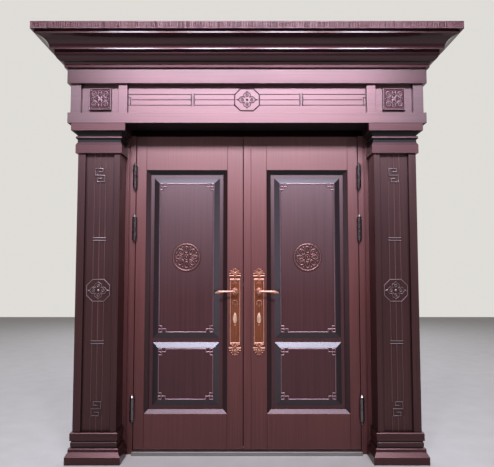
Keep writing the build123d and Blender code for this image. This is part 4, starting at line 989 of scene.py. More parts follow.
@dataclass
class PilasterPanel:
    """The recessed board of a pilaster, carved with lines, paired bars, frets and an octagon flower.

    A quirk is a near-black strip under a bar that paints its shadow: how far below, its width and
    its rise. The fret's shares are of half its size; the lower fret is its mirror image.
    """

    side: Side
    rise: float = 5 * MM
    line_width: float = 4.5 * MM
    line_rise: float = 2.6 * MM
    spacing: float = 36 * MM
    pair_length: float = 80 * MM
    pair_width: float = 7 * MM
    pair_spacing: float = 17 * MM
    pair_offset: float = 330 * MM
    fret_size: Point2 = (70 * MM, 87 * MM)
    fret_inset: float = 140 * MM
    fret_width: float = 7 * MM
    shadow_strip: Point3 = (5.5 * MM, 4 * MM, 1.4 * MM)
    flower: OctagonFlower = field(default_factory=lambda: OctagonFlower(155 * MM, 147 * MM))
    fret_shares: tuple[Point2, ...] = (
        (-0.25, 0.5), (0.5, 0.5), (0.5, 1.0), (-0.88, 1.0), (-0.88, 0.0),
        (0.88, 0.0), (0.88, -1.0), (-0.5, -1.0), (-0.5, -0.5), (0.25, -0.5),
    )

    def build(self, finishes: Finishes) -> None:
        """Builds the panel in place of its CAD node.

        Args:
            finishes: the door's finishes.
        """
        node = f"{self.side.word}_pilaster_panel"
        low, high = as_arrays(node)
        face = low[1] + self.rise
        low[1] = face
        shell = Shell()
        shell.loft(board_rings(low, high, BOARD_EASE))
        middle, centre = (low[0] + high[0]) / 2, (low[2] + high[2]) / 2
        self.flower.build(shell, (middle, centre), face)
        frets = (low[2] + self.fret_inset, high[2] - self.fret_inset)
        pairs = (centre - self.pair_offset, centre + self.pair_offset)
        for place, hand in zip(frets, (-1, 1)):
            path = np.array([(middle + hand * u * self.fret_size[0] / 2, place + v * self.fret_size[1] / 2)
                             for u, v in self.fret_shares])
            shell.loft(carried_bar(path, self.fret_width, self.rise, face), slot=1)
            # A near-black strip under the fret: painted shadow.
            shell.loft(carried_bar(path - [0.0, self.shadow_strip[0]], *self.shadow_strip[1:], face), slot=2)
        half_pair = self.pair_spacing / 2
        for place in pairs:
            for z in (place - half_pair, place + half_pair):
                ends = [(middle - self.pair_length / 2, z), (middle + self.pair_length / 2, z)]
                path, share = round_ended(*ends, self.pair_width)
                shell.loft(carried_bar(path, self.pair_width * share, self.rise * share, face), slot=1)
                # A near-black strip under the bar: painted shadow.
                shell.loft(carried_bar(path - [0.0, self.shadow_strip[0]], *self.shadow_strip[1:], face), slot=2)
        half_fret, half_flower = self.fret_size[1] / 2, self.flower.height / 2
        stops = [low[2], frets[0] - half_fret, frets[0] + half_fret, pairs[0] - half_pair,
                 pairs[0] + half_pair, centre - half_flower, centre + half_flower, pairs[1] - half_pair,
                 pairs[1] + half_pair, frets[1] - half_fret, frets[1] + half_fret, high[2]]
        runs = [(x, bottom, top) for bottom, top in zip(stops[::2], stops[1::2])
                for x in (middle - self.spacing, middle, middle + self.spacing)]
        for x, bottom, top in runs:
            path = np.array([(x, bottom), (x, top)])
            shell.loft(carried_bar(path, self.line_width, self.line_rise, face), slot=3)
        # Slot 1 is a lighter copy, a painted highlight on the raised carving; slot 2 is the painted shadow
        # under it.
        materials = [finishes.antique_carved, finishes.worn_and_lit, finishes.recess, finishes.lined]
        shell.piece(f"{node}_carved", materials, "frame", [node])


@dataclass
class MouldedBlock:
    """A capital or plinth: one profile carried round a pilaster's front and sides, near black in its hollows
    and under its bead as painted shade.

    The profile lists overhang and height in millimetres, and the slot of the run that ends there.
    """

    side: Side
    node: str
    profile: tuple[tuple[float, float, int], ...]
    across: Point2 = (825 * MM, 1100 * MM)
    depth: float = 150 * MM
    ease: float = 1.2 * MM

    @classmethod
    def capital(cls, side: Side) -> "MouldedBlock":
        """A pilaster's head: block, slope, neck, bead, cove and abacus.

        Args:
            side: the half of the doorway.

        Returns:
            The capital.
        """
        # Runs in slot 1, the neck, the bead's lower part, the cove and the abacus's underside, take the
        # near-black painted shade.
        turn = np.linspace(0, math.pi, 11)[1:]
        bead = [(4 + 10 * math.sin(a), 92 + 11 * (1 - math.cos(a)), int(a < 1.3)) for a in turn]
        cove = [(x, z, 1) for x, z in curve((4.0, 114.0), (8.0, 136.5), (30.0, 143.0), 8)[1:]]
        block = [(12.8, 0, 1), (14, 1.2, 0), (14, 55.6, 0), (12.6, 57.6, 0), (4, 73, 0), (4, 92, 1)]
        abacus = [(36.8, 143, 1), (38, 144.2, 0), (38, 190.8, 0), (36.8, 192, 0)]
        return cls(side, "capital", tuple(block + bead + cove + abacus))

    @classmethod
    def plinth(cls, side: Side) -> "MouldedBlock":
        """A pilaster's foot: slab, slope, step, banded groove and block.

        Args:
            side: the half of the doorway.

        Returns:
            The plinth.
        """
        low = [(36, 0, 0), (36, 46.8, 0), (35.2, 48, 0), (20, 74, 0), (20, 91, 0), (17, 96, 0), (5, 96.2, 0)]
        # Runs in slot 1, in the groove and under the block, take the near-black painted shade.
        groove = [(5, 104, 1), (8.6, 104.2, 1), (8.6, 128, 0), (7.4, 130, 0), (5, 130.2, 0), (5, 140, 1)]
        block = [(12, 140.2, 1), (13, 141.4, 0), (13, 185, 0), (10, 190, 0)]
        return cls(side, "plinth", tuple(low + groove + block))

    def build(self, finishes: Finishes) -> None:
        """Builds the block in place of its CAD node, as outlines stacked up its profile.

        Args:
            finishes: the door's finishes.
        """
        name = f"{self.side.word}_{self.node}"
        low, high = as_arrays(name)
        over, height = np.array([point[:2] for point in self.profile]).T[:, :, None] * MM
        inner, outer, front = self.across[0] - over, self.across[1] + over, -self.depth - over
        x = np.hstack([inner, inner, inner + self.ease, outer - self.ease, outer, outer])
        back, eased_front = 0 * front + high[1], front + self.ease
        y = np.hstack([back, eased_front, front, front, eased_front, back])
        rings = np.stack(np.broadcast_arrays(self.side.x(1) * x, y, low[2] + height), axis=-1)
        shell = Shell()
        shell.loft(rings, slot=np.repeat([point[2] for point in self.profile[1:]], 6))
        finish = finishes.capital if self.node == "capital" else finishes.antique_shaded_level
        shell.piece(f"{name}_moulded", [finish, finishes.recess], "frame", [name])


@dataclass
class FriezePanel:
    """The long board of the lintel with its lines, paired bars, end frets and octagon flower."""

    rise: float = 5 * MM
    line_width: float = 4.5 * MM
    line_rise: float = 2.6 * MM
    spacing: float = 36 * MM
    pair_place: float = 356 * MM
    pair_length: float = 80 * MM
    pair_width: float = 7 * MM
    pair_spacing: float = 17 * MM
    end: float = 778.5 * MM
    fret: Point2 = (15 * MM, 24 * MM)
    fret_rise: float = 16 * MM
    flower: OctagonFlower = field(default_factory=lambda: OctagonFlower(168 * MM, 153 * MM))

    def build(self, finishes: Finishes) -> None:
        """Builds the board in place of its CAD node.

        Args:
            finishes: the door's finishes.
        """
        low, high = as_arrays("frieze_panel")
        face = low[1] + self.rise
        low[1] = face
        centre = (low[2] + high[2]) / 2
        shell = Shell()
        shell.loft(board_rings(low, high, BOARD_EASE))
        self.flower.build(shell, (0.0, centre), face)
        pair = (self.pair_place - self.pair_spacing / 2, self.pair_place + self.pair_spacing / 2)
        runs = ((self.flower.width / 2, pair[0]), (pair[1], self.end))
        lines = [((first, z), (last if z else min(last, self.end - self.fret[1]), z))
                 for z in (-self.spacing, 0.0, self.spacing) for first, last in runs]
        turn = self.end - self.fret[0]
        lines.append(((self.end, self.fret_rise), (turn, self.fret_rise), (turn, -self.spacing)))
        for side in Side:
            for line in lines:
                path = np.array([(side.x(x), centre + z) for x, z in line])
                shell.loft(carried_bar(path, self.line_width, self.line_rise, face), slot=1)
            for x in map(side.x, pair):
                ends = [(x, centre - self.pair_length / 2), (x, centre + self.pair_length / 2)]
                path, share = round_ended(*ends, self.pair_width)
                shell.loft(carried_bar(path, self.pair_width * share, self.rise * share, face))
        # Slot 1, the lines and the flower's outline, is a dark copy of the lacquer: painted shade.
        materials = [finishes.carved_level, finishes.shaded_groove]
        shell.piece("frieze_panel_carved", materials, "frame", ["frieze_panel"])


@dataclass
class LintelBottomBoard:
    """The lintel's lower board, whose underside is painted near black as painted shade."""

    ease: float = 1 * MM

    def build(self, finishes: Finishes) -> None:
        """Builds the board in place of its CAD node.

        Args:
            finishes: the door's finishes.
        """
        node = "lintel_bottom_board"
        low, high = as_arrays(node)
        rings = board_rings(low, high, self.ease)
        # Faces on the underside take the near-black painted shade.
        under = (rings[:-1] + np.roll(rings[1:], -1, axis=1))[:, :, 2] / 2 < low[2] + 0.25 * self.ease
        shell = Shell()
        shell.loft(rings, slot=under.ravel().astype(int))
        materials = [finishes.level, finishes.recess]
        shell.piece(f"{node}_eased", materials, "frame", [node])


@dataclass
class LeafPanel:
    """The carved board of a leaf: two raised fields, each framed by a bead with stepped corner frets.

    `arris` is how far the edge between a bevel and its face is taken down and in.
    """

    side: Side
    valley: float = 20.6 * MM
    field_depth: float = 5 * MM
    bevel: float = 36 * MM
    arris: Point2 = (0.4 * MM, 0.8 * MM)
    foot: float = 52 * MM
    gap: float = 27 * MM
    lower_field: float = 341 * MM
    bead_inset: float = 6 * MM
    bead_width: float = 8.5 * MM
    bead_rise: float = 4.5 * MM
    fret: Point2 = (47 * MM, 40 * MM)
    fret_step: float = 20 * MM

    def add_field(self, shell: Shell, x: Point2, z: Point2) -> None:
        """Adds one field: bevels that rise from the valley to a flat face with a softened arris.

        Args:
            shell: the mesh that it goes into.
            x: left and right foot of the bevels.
            z: lower and upper foot of the bevels.
        """
        middle, half = face_of(np.array([x[0], 0.0, z[0]]), np.array([x[1], 0.0, z[1]]))
        height = self.valley - self.field_depth
        down, inwards = self.arris
        slopes = [(-1 * MM, 0.0), (0.0, 0.0), (height - down, self.bevel - inwards)]
        # The bevels take a dark copy of the lacquer: painted shade.
        shell.loft(plate_rings(middle, half, MITRE_RADIUS, slopes, self.valley), slot=2)
        inner = (half[0] - self.bevel + inwards, half[1] - self.bevel + inwards)
        falls = ((2 * MM, 0.0), (down, 0.0), (0.1 * MM, inwards), (0.0, 1.7 * MM))
        face = [(height - fall, inset) for fall, inset in falls]
        shell.loft(plate_rings(middle, inner, MITRE_RADIUS, face, self.valley))

    def add_bead(self, shell: Shell, x: Point2, z: Point2) -> None:
        """Adds the bead round one field and the frets at its corners.

        Args:
            shell: the mesh that it goes into.
            x: left and right line of the bead.
            z: lower and upper line of the bead.
        """
        reach_x, reach_z, step = *self.fret, self.fret_step
        fret = [((0, reach_z), (step, reach_z)), ((0, step), (reach_x, step)), ((0, 0), (step, 0)),
                ((0, 0), (0, step)), ((step, 0), (step, reach_z)), ((reach_x, 0), (reach_x, step))]
        runs = [((place, z[0] + reach_z), (place, z[1] - reach_z)) for place in x]
        runs += [((x[0] + reach_x, place), (x[1] - reach_x, place)) for place in z]
        corners = [(x[0], 1, z[0], 1), (x[1], -1, z[0], 1), (x[0], 1, z[1], -1), (x[1], -1, z[1], -1)]
        runs += [((at_x + way_x * a, at_z + way_z * b), (at_x + way_x * c, at_z + way_z * d))
                 for at_x, way_x, at_z, way_z in corners for (a, b), (c, d) in fret]
        for start, end in runs:
            path, share = round_ended(start, end, self.bead_width)
            bead = carried_bar(path, self.bead_width * share, self.bead_rise * share, self.field_depth)
            # The beads and frets take a lighter copy of the lacquer: painted highlight, with wear.
            shell.loft(bead, slot=1)

    def build(self, finishes: Finishes) -> None:
        """Builds the board in place of its CAD node.

        Args:
            finishes: the door's finishes.
        """
        node = f"{self.side.word}_carved_panel"
        low, high = as_arrays(node)
        shell = Shell()
        shell.loft(board_rings(np.array([low[0], self.valley, low[2]]), high, BOARD_EASE))
        x = (low[0] + self.foot, high[0] - self.foot)
        lower = (low[2] + self.foot, low[2] + self.foot + self.lower_field + 2 * self.bevel)
        upper = (lower[1] + self.gap, high[2] - self.foot)
        inset = self.bevel + self.bead_inset
        for z in (lower, upper):
            self.add_field(shell, x, z)
            self.add_bead(shell, (x[0] + inset, x[1] - inset), (z[0] + inset, z[1] - inset))
        materials = [finishes.carved_upright, finishes.rubbed_and_lit, finishes.shaded]
        shell.piece(f"{node}_beaded", materials, f"{self.side.word}_leaf", [node])


@dataclass
class PanelMoulding:
    """The moulding round a leaf's recess: a slope, a narrow groove and a flat strip. The slope is a dark copy
    of the lacquer and near black in its upper run: painted shade.
    """

    side: Side
    slope: tuple[Point2, ...] = ((0, 0), (23.4, 0), (24, 0.6), (8, 27), (2.5, 28.2), (2.5, 30), (0, 30))
    strip: tuple[Point2, ...] = ((0, 30), (3.4, 30), (4, 30.8), (4, 44), (0, 44))

    def build(self, finishes: Finishes) -> None:
        """Builds the moulding in place of its CAD node, as its section carried round with mitred corners.

        Each section is a run of (out, inset) in millimetres from the back and the outer edge.

        Args:
            finishes: the door's finishes.
        """
        node = f"{self.side.word}_panel_moulding"
        low, high = as_arrays(node)
        middle, half = face_of(low, high)
        shell = Shell()
        for slot, section in enumerate((self.slope, self.strip)):
            levels = [(out * MM, inset * MM) for out, inset in section]
            rings = plate_rings(middle, half, MITRE_RADIUS, levels, high[1])
            span = np.abs(np.roll(rings, -1, axis=1) - rings)[:, :, 0]
            # The upper run of the slope takes the near-black painted shade.
            upper = (span > half[0]) & (rings[:, :, 2] > middle[1])
            shell.loft(rings, closed=True, slot=np.where(upper & (slot == 0), 2, slot).ravel())
        materials = [finishes.shaded_edging, finishes.carved_upright, finishes.recess]
        shell.piece(f"{node}_run", materials, f"{self.side.word}_leaf", [node])


@dataclass
class Medallion:
    """A cast disc with a rim, a ring of outlined petals and a boss, in copper on a dark ground."""

    side: Side
    base: float = 2 * MM
    petals: int = 8
    rings: int = 84
    spokes: int = 288
    ground: float = 0.15

    def out(self, share: np.ndarray, turn: np.ndarray) -> np.ndarray:
        """The carving's height, as a share of its rise, over radius share s and angle t.

        Each part is rounded by sqrt(1 - d^2): the rim at s = 0.93, an edge round petal k with d its
        distance from an ellipse, a rib along the petal, a pearl between each two, and the boss.

        Args:
            share: radius as a share of the disc's.
            turn: angle.

        Returns:
            Shares of the rise.
        """
        step = 2 * math.pi / self.petals
        local = (turn + step / 2) % step - step / 2
        between = turn % step - step / 2
        along, aside = share * np.cos(local), share * np.sin(local)
        rim = rounded((share - 0.93) / 0.07)
        edge = 0.9 * rounded((np.hypot((along - 0.53) / 0.27, aside / 0.165) - 0.8) / 0.26)
        rib = 0.75 * rounded(np.hypot((along - 0.50) / 0.16, aside / 0.032))
        pearl = 0.8 * rounded(np.hypot(share * np.cos(between) - 0.75, share * np.sin(between)) / 0.062)
        boss = np.maximum(rounded((share - 0.165) / 0.05), rounded(share / 0.085))
        return np.maximum.reduce(np.broadcast_arrays(rim, edge, rib, pearl, boss))

    def build(self, finishes: Finishes) -> None:
        """Builds the disc in place of its CAD node.

        Args:
            finishes: the door's finishes.
        """
        node = f"{self.side.word}_medallion"
        low, high = as_arrays(node)
        middle, (radius, _) = face_of(low, high)
        share = np.concatenate([[1.0, 1.0], np.linspace(0.998, 0.004, self.rings)])[:, None]
        turn = angles(self.spokes)[None, :]
        carving = self.out(share, turn)
        out = self.base + carving * (high[1] - low[1] - self.base)
        out[0], out[1] = 0.0, 0.6 * self.base
        shell = Shell()
        x, z = middle[0] + radius * share * np.cos(turn), middle[1] + radius * share * np.sin(turn)
        raised = np.maximum(carving[:-1], carving[1:]) > self.ground
        shell.loft(facing(x, out, z, high[1]), slot=raised.astype(int).ravel())
        materials = [finishes.carved_upright, finishes.medallion]
        shell.piece(f"{node}_cast", materials, f"{self.side.word}_leaf", [node], 60.0)


@dataclass
class CornerBlocks:
    """The two square lintel blocks, each with a border round scrolls that grow from a flower."""

    size: float = 145 * MM
    border: float = 8 * MM
    rise: float = 4 * MM
    steps: int = 140

    def out(self, x: np.ndarray, z: np.ndarray) -> np.ndarray:
        """The carving's height over the block's face.

        It is the highest of half-round cords along paths: height (1 - (d / w)^2)^0.5 at a
        distance d from the nearest path point, and the same for petals and pearls.

        Args:
            x: places from the middle.
            z: heights from the middle.

        Returns:
            Heights by grid point.
        """
        unit = self.size / 145

        def cord(path: np.ndarray, width: np.ndarray, height: float) -> np.ndarray:
            """A half-round cord along a path, with its half width by point."""
            gap = np.hypot(x[..., None] - path[:, 0], z[..., None] - path[:, 1]) / width
            return height * rounded(np.min(gap, axis=-1))

        parts = []
        for way_x in (-1, 1):
            for way_z in (-1, 1):
                flip = np.array([way_x, way_z]) * unit
                curl = spiral((36.0, 35.0), (19.0, 4.0), 215.0, 1.6, 90) * flip
                stem = curve((6.0, 7.0), (12.0, 26.0), (20.5, 24.1), 20) * flip
                leaf = curve((22.0, 16.0), (36.0, 4.0), (58.0, 13.0), 26) * flip
                frond = curve((14.0, 26.0), (6.0, 42.0), (13.0, 58.0), 26) * flip
                taper = np.linspace(4.6, 2.6, 91) * unit
                blade = 4.8 * np.sin(math.pi * np.linspace(0.12, 0.96, 27)) * unit
                parts += [cord(curl, taper, 1.0), cord(stem, np.full(21, 3.6 * unit), 0.9)]
                parts += [cord(leaf, blade, 0.85), cord(frond, blade, 0.85)]
                parts.append(cord(np.array([(36.0, 35.0)]) * flip, np.full(1, 4.0 * unit), 0.9))
        for angle in (45, 135, 225, 315):
            turn = math.radians(angle)
            along = x * math.cos(turn) + z * math.sin(turn)
            aside = z * math.cos(turn) - x * math.sin(turn)
            spread = np.hypot((along - 11 * unit) / (10.5 * unit), aside / (7.5 * unit))
            parts.append(0.95 * rounded(spread))
        reaches = np.array([28.0, 41.0, 56.0])
        line = np.concatenate([np.stack([way * reaches, 0 * reaches], axis=-1) for way in (-1, 1)])
        corners = 57 * np.array([(1, 1), (1, -1), (-1, 1), (-1, -1)])
        pearls = np.concatenate([line, line[:, ::-1], corners]) * unit
        parts.append(cord(pearls, np.full(len(pearls), 4.6 * unit), 0.9))
        parts.append(cord(np.zeros((1, 2)), np.full(1, 5.5 * unit), 1.1))
        edge = self.size / 2 - np.maximum(np.abs(x), np.abs(z))
        band = rounded((edge - self.border / 2) / (self.border / 2))
        carving = np.maximum.reduce(parts) * (edge > self.border)
        return self.rise * np.clip(np.maximum(carving, band), 0, 1.0)

    def build(self, finishes: Finishes) -> None:
        """Builds both blocks in place of their CAD node.

        Args:
            finishes: the door's finishes.
        """
        low, high = as_arrays("corner_blocks")
        face, centre = low[1] + self.rise, (low[2] + high[2]) / 2
        places = np.linspace(-self.size / 2, self.size / 2, self.steps + 1)
        grid_x, grid_z = np.meshgrid(places, places)
        out = self.out(grid_x, grid_z)
        # The low ground between the carving takes a dark copy of the lacquer: painted shade.
        ground = (out[:-1, :-1] + out[1:, 1:]) / 2 < 0.3 * self.rise
        shell = Shell()
        for side in Side:
            middle = side.x(high[0] - self.size / 2)
            grid = facing(middle + side.x(1) * grid_x, out, centre + grid_z, face)
            add_tile(shell, grid, high[1], ground.astype(int))
        materials = [finishes.block, finishes.shaded_groove]
        shell.piece("corner_blocks_carved", materials, "frame", ["corner_blocks"], 60.0)


@dataclass
class ReededSlab:
    """The cornice slab, whose front and side edges carry narrow upright reeds of uneven width."""

    reed: float = 7 * MM
    unevenness: float = 0.5
    depth: float = 3.2 * MM
    lip: float = 5 * MM
    run_out: float = 3 * MM
    ease: float = 1.2 * MM
    edge: float = 1 * MM
    samples: int = 6
    seed: int = 11

    def reeds(self, length: float, random: np.random.Generator) -> tuple[np.ndarray, np.ndarray]:
        """Reeds along an edge: across each, the face falls back by depth (1 - sqrt(1 - t^2)).

        Args:
            length: of the edge.
            random: source of the uneven widths.

        Returns:
            Places along the edge and how far the face falls back there.
        """
        count = int(length / self.reed)
        widths = 1 + self.unevenness * random.uniform(-1, 1, count)
        starts = np.concatenate([[0.0], np.cumsum(widths)]) * length / widths.sum()
        across = np.linspace(-1, 1, self.samples + 1)[:-1]
        along = starts[:-1, None] + np.diff(starts)[:, None] * (across[None, :] + 1) / 2
        deep = self.depth * (0.55 + 0.45 * random.uniform(0, 1, count))
        back = deep[:, None] * (1 - rounded(across))[None, :]
        back[0, 0] = 0.0
        return along.ravel(), back.ravel()

    def build(self, finishes: Finishes) -> None:
        """Builds the slab in place of its CAD node, as outlines stacked from its foot to its top.

        Args:
            finishes: the door's finishes.
        """
        node = "cornice_slab"
        low, high = as_arrays(node)
        random = np.random.default_rng(self.seed)
        deep, wide = high[1] - low[1], high[0] - low[0]
        along_left, back_left = self.reeds(deep, random)
        along_front, back_front = self.reeds(wide, random)
        along_right, back_right = self.reeds(deep, random)
        x = np.concatenate([np.full_like(along_left, low[0]), low[0] + along_front,
                            np.full_like(along_right, high[0]), [high[0]]])
        y = np.concatenate([high[1] - along_left, np.full_like(along_front, low[1]),
                            low[1] + along_right, [high[1]]])
        in_x = np.concatenate([back_left, 0 * back_front, -back_right, [0.0]])
        in_y = np.concatenate([0 * back_left, back_front, 0 * back_right, [0.0]])
        tall, inner = high[2] - low[2], self.lip + self.run_out
        heights = [0.0, self.ease, self.lip, inner, tall - inner, tall - self.lip, tall - self.ease, tall]
        shares = [0.0, 0.0, 0.25, 1.0, 1.0, 0.25, 0.0, 0.0]
        rings = np.stack([facing(x + share * in_x, -share * in_y, low[2] + height, y)
                          for height, share in zip(heights, shares)])
        ease = np.array([self.ease, 0, 0, 0, 0, 0, 0, self.ease])[:, None]
        rings[:, :, 0] -= np.sign(x) * (np.abs(x) > high[0] - self.edge) * ease
        rings[:, :, 1] += (y < low[1] + self.edge) * ease
        shell = Shell()
        shell.loft(rings)
        shell.piece(f"{node}_reeded", [finishes.slab], "frame", [node], 50.0)


# Handles


@dataclass
class OuterPlate:
    """A long copper handle plate with a leafy crown above and a leafy drop below.

    `lobe` is how far a lobe rises and how far out its foot lies. A row of the leaves holds foot, pull
    and tip (x, z), width and rise, and a row of the lobes place (x, z) and half sizes, in millimetres.
    """

    side: Side
    place: float = 80 * MM
    half_width: float = 35 * MM
    body: Point2 = (720 * MM, 1160 * MM)
    crown_top: float = 1224 * MM
    drop_tip: float = 636 * MM
    thick: float = 8 * MM
    proud: float = 12 * MM
    keyhole: float = 889 * MM
    hub: float = 1066 * MM
    lobe: Point2 = (4.6 * MM, 7 * MM)
    crown_leaves: tuple[tuple[float, ...], ...] = (
        (5, 11, 13, 30, 38, 25, 14, 10), (3, 16, 8, 39, 29, 42, 14, 11), (2, 44, 9, 43, 18, 56, 10, 9.5),
    )
    crown_lobes: tuple[tuple[float, ...], ...] = (
        (33, 22, 6.5, 4.2), (18, 27, 4.2, 4.6), (25, 40, 5.2, 4.4),
        (0, 27, 6, 8), (12, 50, 3.8, 4.2), (0, 56, 4.4, 5.4),
    )
    drop_leaves: tuple[tuple[float, ...], ...] = (
        (2, 30, 8, 14, 19, 13, 10, 10), (8, 36, 22, 50, 39, 41, 11, 9),
        (6, 40, 13, 59, 26, 62, 12, 10), (3, 50, 7, 71, 18, 77, 10, 9.5),
    )
    drop_lobes: tuple[tuple[float, ...], ...] = (
        (17, 14, 4.4, 3.6), (0, 17, 4.6, 5.6), (33, 45, 5.8, 4), (16, 48, 4.2, 4.4),
        (0, 46, 6, 7.5), (23, 59, 4.8, 4), (13, 72, 3.8, 4), (0, 74, 4, 5),
    )

    def leaf(self, shell: Shell, path: np.ndarray, width: float, rise: float, depth: float) -> None:
        """Adds a creased leaf along a path, widest at 0.4 of its length.

        Args:
            shell: the mesh that it goes into.
            path: its middle line, as places (x, z).
            width: its greatest width.
            rise: its greatest height.
            depth: the plane that it lies on.
        """
        share = np.linspace(0, 1, len(path))
        swell = np.sin(math.pi * np.clip(share, 0.03, 0.985) ** 0.75) ** 0.8
        shell.loft(carried_bar(path, width * swell, rise * (0.35 + 0.65 * swell), depth, crease=0.35))

    def both(self, shell: Shell, path: np.ndarray, width: float, rise: float, depth: float) -> None:
        """Adds a leaf and its mirror image about the plate's middle line.

        Args:
            shell: the mesh that they go into.
            path: the leaf's middle line, from the plate's middle line.
            width: its greatest width.
            rise: its greatest height.
            depth: the plane that it lies on.
        """
        for way in (-1, 1):
            moved = np.stack([self.side.x(self.place) + way * path[:, 0], path[:, 1]], axis=-1)
            self.leaf(shell, moved, width, rise, depth)

    def halves(self, shell: Shell, z: float, reach: Point2, tall: float, rise: float, depth: float) -> None:
        """Adds a level bar on either side of the middle line, with a knob on each outer end.

        Args:
            shell: the mesh that it goes into.
            z: its height.
            reach: where each half starts and ends, from the middle line.
            tall: its width.
            rise: how far it stands out.
            depth: the plane that it lies on.
        """
        x = self.side.x(self.place)
        for way in (-1, 1):
            path, share = round_ended((x + way * reach[0], z), (x + way * (reach[1] - tall / 2), z), tall)
            shell.loft(carried_bar(path, tall * share, rise * share, depth))
            shell.loft(dome((x + way * (reach[1] - 0.62 * tall), z), (0.62 * tall,) * 2, rise, depth))

    def stem(self, shell: Shell, heights: Point2, width: float, rise: float, depth: float) -> None:
        """Adds a creased leaf on the middle line, from the first height to the last.

        Args:
            shell: the mesh that it goes into.
            heights: of its foot and its tip.
            width: its greatest width.
            rise: its greatest height.
            depth: the plane that it lies on.
        """
        rises = np.linspace(*heights, 13)
        path = np.stack([np.full_like(rises, self.side.x(self.place)), rises], axis=-1)
        self.leaf(shell, path, width, rise, depth)

    def finial(self, shell: Shell, root: float, way: int, leaves: tuple[tuple[float, ...], ...]) -> None:
        """Adds pairs of leaves that spread from the middle line, above a root or below it.

        Args:
            shell: the mesh that it goes into.
            root: the height that the leaves are measured from.
            way: 1 for upwards, -1 for downwards.
            leaves: their rows.
        """
        for *marks, width, rise in leaves:
            points = [(x * MM, root + way * z * MM) for x, z in zip(marks[::2], marks[1::2])]
            self.both(shell, curve(*points), width * MM, rise * MM, 0.0)

    def lobes(self, shell: Shell, root: float, way: int, lobes: tuple[tuple[float, ...], ...]) -> None:
        """Adds shallow lobes in front of the leaves, in pairs about the middle line.

        Args:
            shell: the mesh that they go into.
            root: the height that they are measured from.
            way: 1 for upwards, -1 for downwards.
            lobes: their rows.
        """
        x = self.side.x(self.place)
        for place, z, wide, tall in lobes:
            for aside in sorted({-place, place}):
                at = (x + aside * MM, root + way * z * MM)
                shell.loft(dome(at, (wide * MM, tall * MM), self.lobe[0], -self.lobe[1]))

    def backing(self, shell: Shell, height: float, half: Point2, radius: float) -> None:
        """Adds the thin brushed plate behind the crown or the drop.

        Args:
            shell: the mesh that it goes into.
            height: of its middle.
            half: half its width and height.
            radius: of its corners.
        """
        levels = [(0.0, 0.0), (2.5 * MM, 0.0), (3.5 * MM, 1.5 * MM)]
        shell.loft(plate_rings((self.side.x(self.place), height), half, radius, levels, 0.0), slot=1)

    def crown(self, shell: Shell) -> None:
        """Adds the crown: a split bar, three pairs of leaves, a palmette leaf, a bud, and lobes on them.

        Args:
            shell: the mesh that it goes into.
        """
        x, foot = self.side.x(self.place), self.body[1]
        self.backing(shell, foot + 15 * MM, (15 * MM, 29 * MM), 10 * MM)
        self.halves(shell, foot + 8 * MM, (9 * MM, 42 * MM), 10.5 * MM, self.proud, 0.0)
        self.finial(shell, foot, 1, self.crown_leaves)
        self.stem(shell, (foot - 4 * MM, foot + 44 * MM), 19 * MM, 12 * MM, 0.0)
        shell.loft(dome((x, foot + 45 * MM), (6.5 * MM, 3.6 * MM), 9 * MM, 0.0))
        self.stem(shell, (foot + 43 * MM, self.crown_top), 14 * MM, 10.5 * MM, 0.0)
        self.lobes(shell, foot, 1, self.crown_lobes)

    def drop(self, shell: Shell) -> None:
        """Adds the drop: two split bars with a palmette between, leaves that narrow to a tip, and lobes.

        Args:
            shell: the mesh that it goes into.
        """
        head = self.body[0]
        self.backing(shell, head - 30 * MM, (17 * MM, 32 * MM), 13 * MM)
        self.halves(shell, head - 3 * MM, (6 * MM, 36 * MM), 8 * MM, 10 * MM, 0.0)
        self.halves(shell, head - 29 * MM, (11 * MM, 44 * MM), 12 * MM, self.proud, 0.0)
        self.finial(shell, head, -1, self.drop_leaves)
        self.stem(shell, (head - 34 * MM, head - 9 * MM), 12 * MM, 11.5 * MM, 0.0)
        self.stem(shell, (head - 28 * MM, head - 70 * MM), 18 * MM, 12 * MM, 0.0)
        self.stem(shell, (head - 64 * MM, self.drop_tip), 11 * MM, 9.5 * MM, 0.0)
        self.lobes(shell, head, -1, self.drop_lobes)

    def build(self, finishes: Finishes) -> None:
        """Builds the plate in place of its CAD node: a brushed body with a rim, and cast ornament.

        Args:
            finishes: the door's finishes.
        """
        x, low, high = self.side.x(self.place), self.body[0] + 2 * MM, self.body[1] - 9 * MM
        node, body = f"{self.side.word}_outer_plate", f"{self.side.word}_leaf"
        middle, half = (x, (low + high) / 2), (self.half_width, (high - low) / 2)
        base = Shell()
        levels = [(0.0, 0.0), (self.thick - 2.5 * MM, 0.0), (self.thick - 1.5 * MM, 1.0 * MM)]
        base.loft(plate_rings(middle, half, 3 * MM, levels, 0.0))
        face = -(self.thick - 1.5 * MM)
        rim = np.array(middle) + soft_rectangle(half[0] - 3.2 * MM, half[1] - 3.2 * MM, 2 * MM)
        base.loft(carried_bar(rim, 5 * MM, 1.5 * MM, face, closed=True), closed=True, slot=1)
        levels = [(-ORNAMENT_FOOT, 0.0), (0.9 * MM, 0.0), (1.5 * MM, 1.0 * MM)]
        base.loft(plate_rings(middle, (half[0] - 14 * MM, half[1] - 34 * MM), 8 * MM, levels, face))
        base.piece(f"{node}_body", [finishes.plate, finishes.cast], body, [node])
        shell = Shell()
        self.crown(shell)
        self.drop(shell)
        panel = face - 1.5 * MM
        self.halves(shell, high - 10 * MM, (6 * MM, 36 * MM), 9 * MM, 5.5 * MM, face)
        self.stem(shell, (high + 2 * MM, high - 30 * MM), 11 * MM, 6 * MM, face)
        fleur = curve((1 * MM, high - 26 * MM), (8 * MM, high - 30 * MM), (12 * MM, high - 18 * MM))
        self.both(shell, fleur, 6 * MM, 4.5 * MM, face)
        arch = circle((x, self.hub - 76 * MM), 16 * MM, 40)[:21]
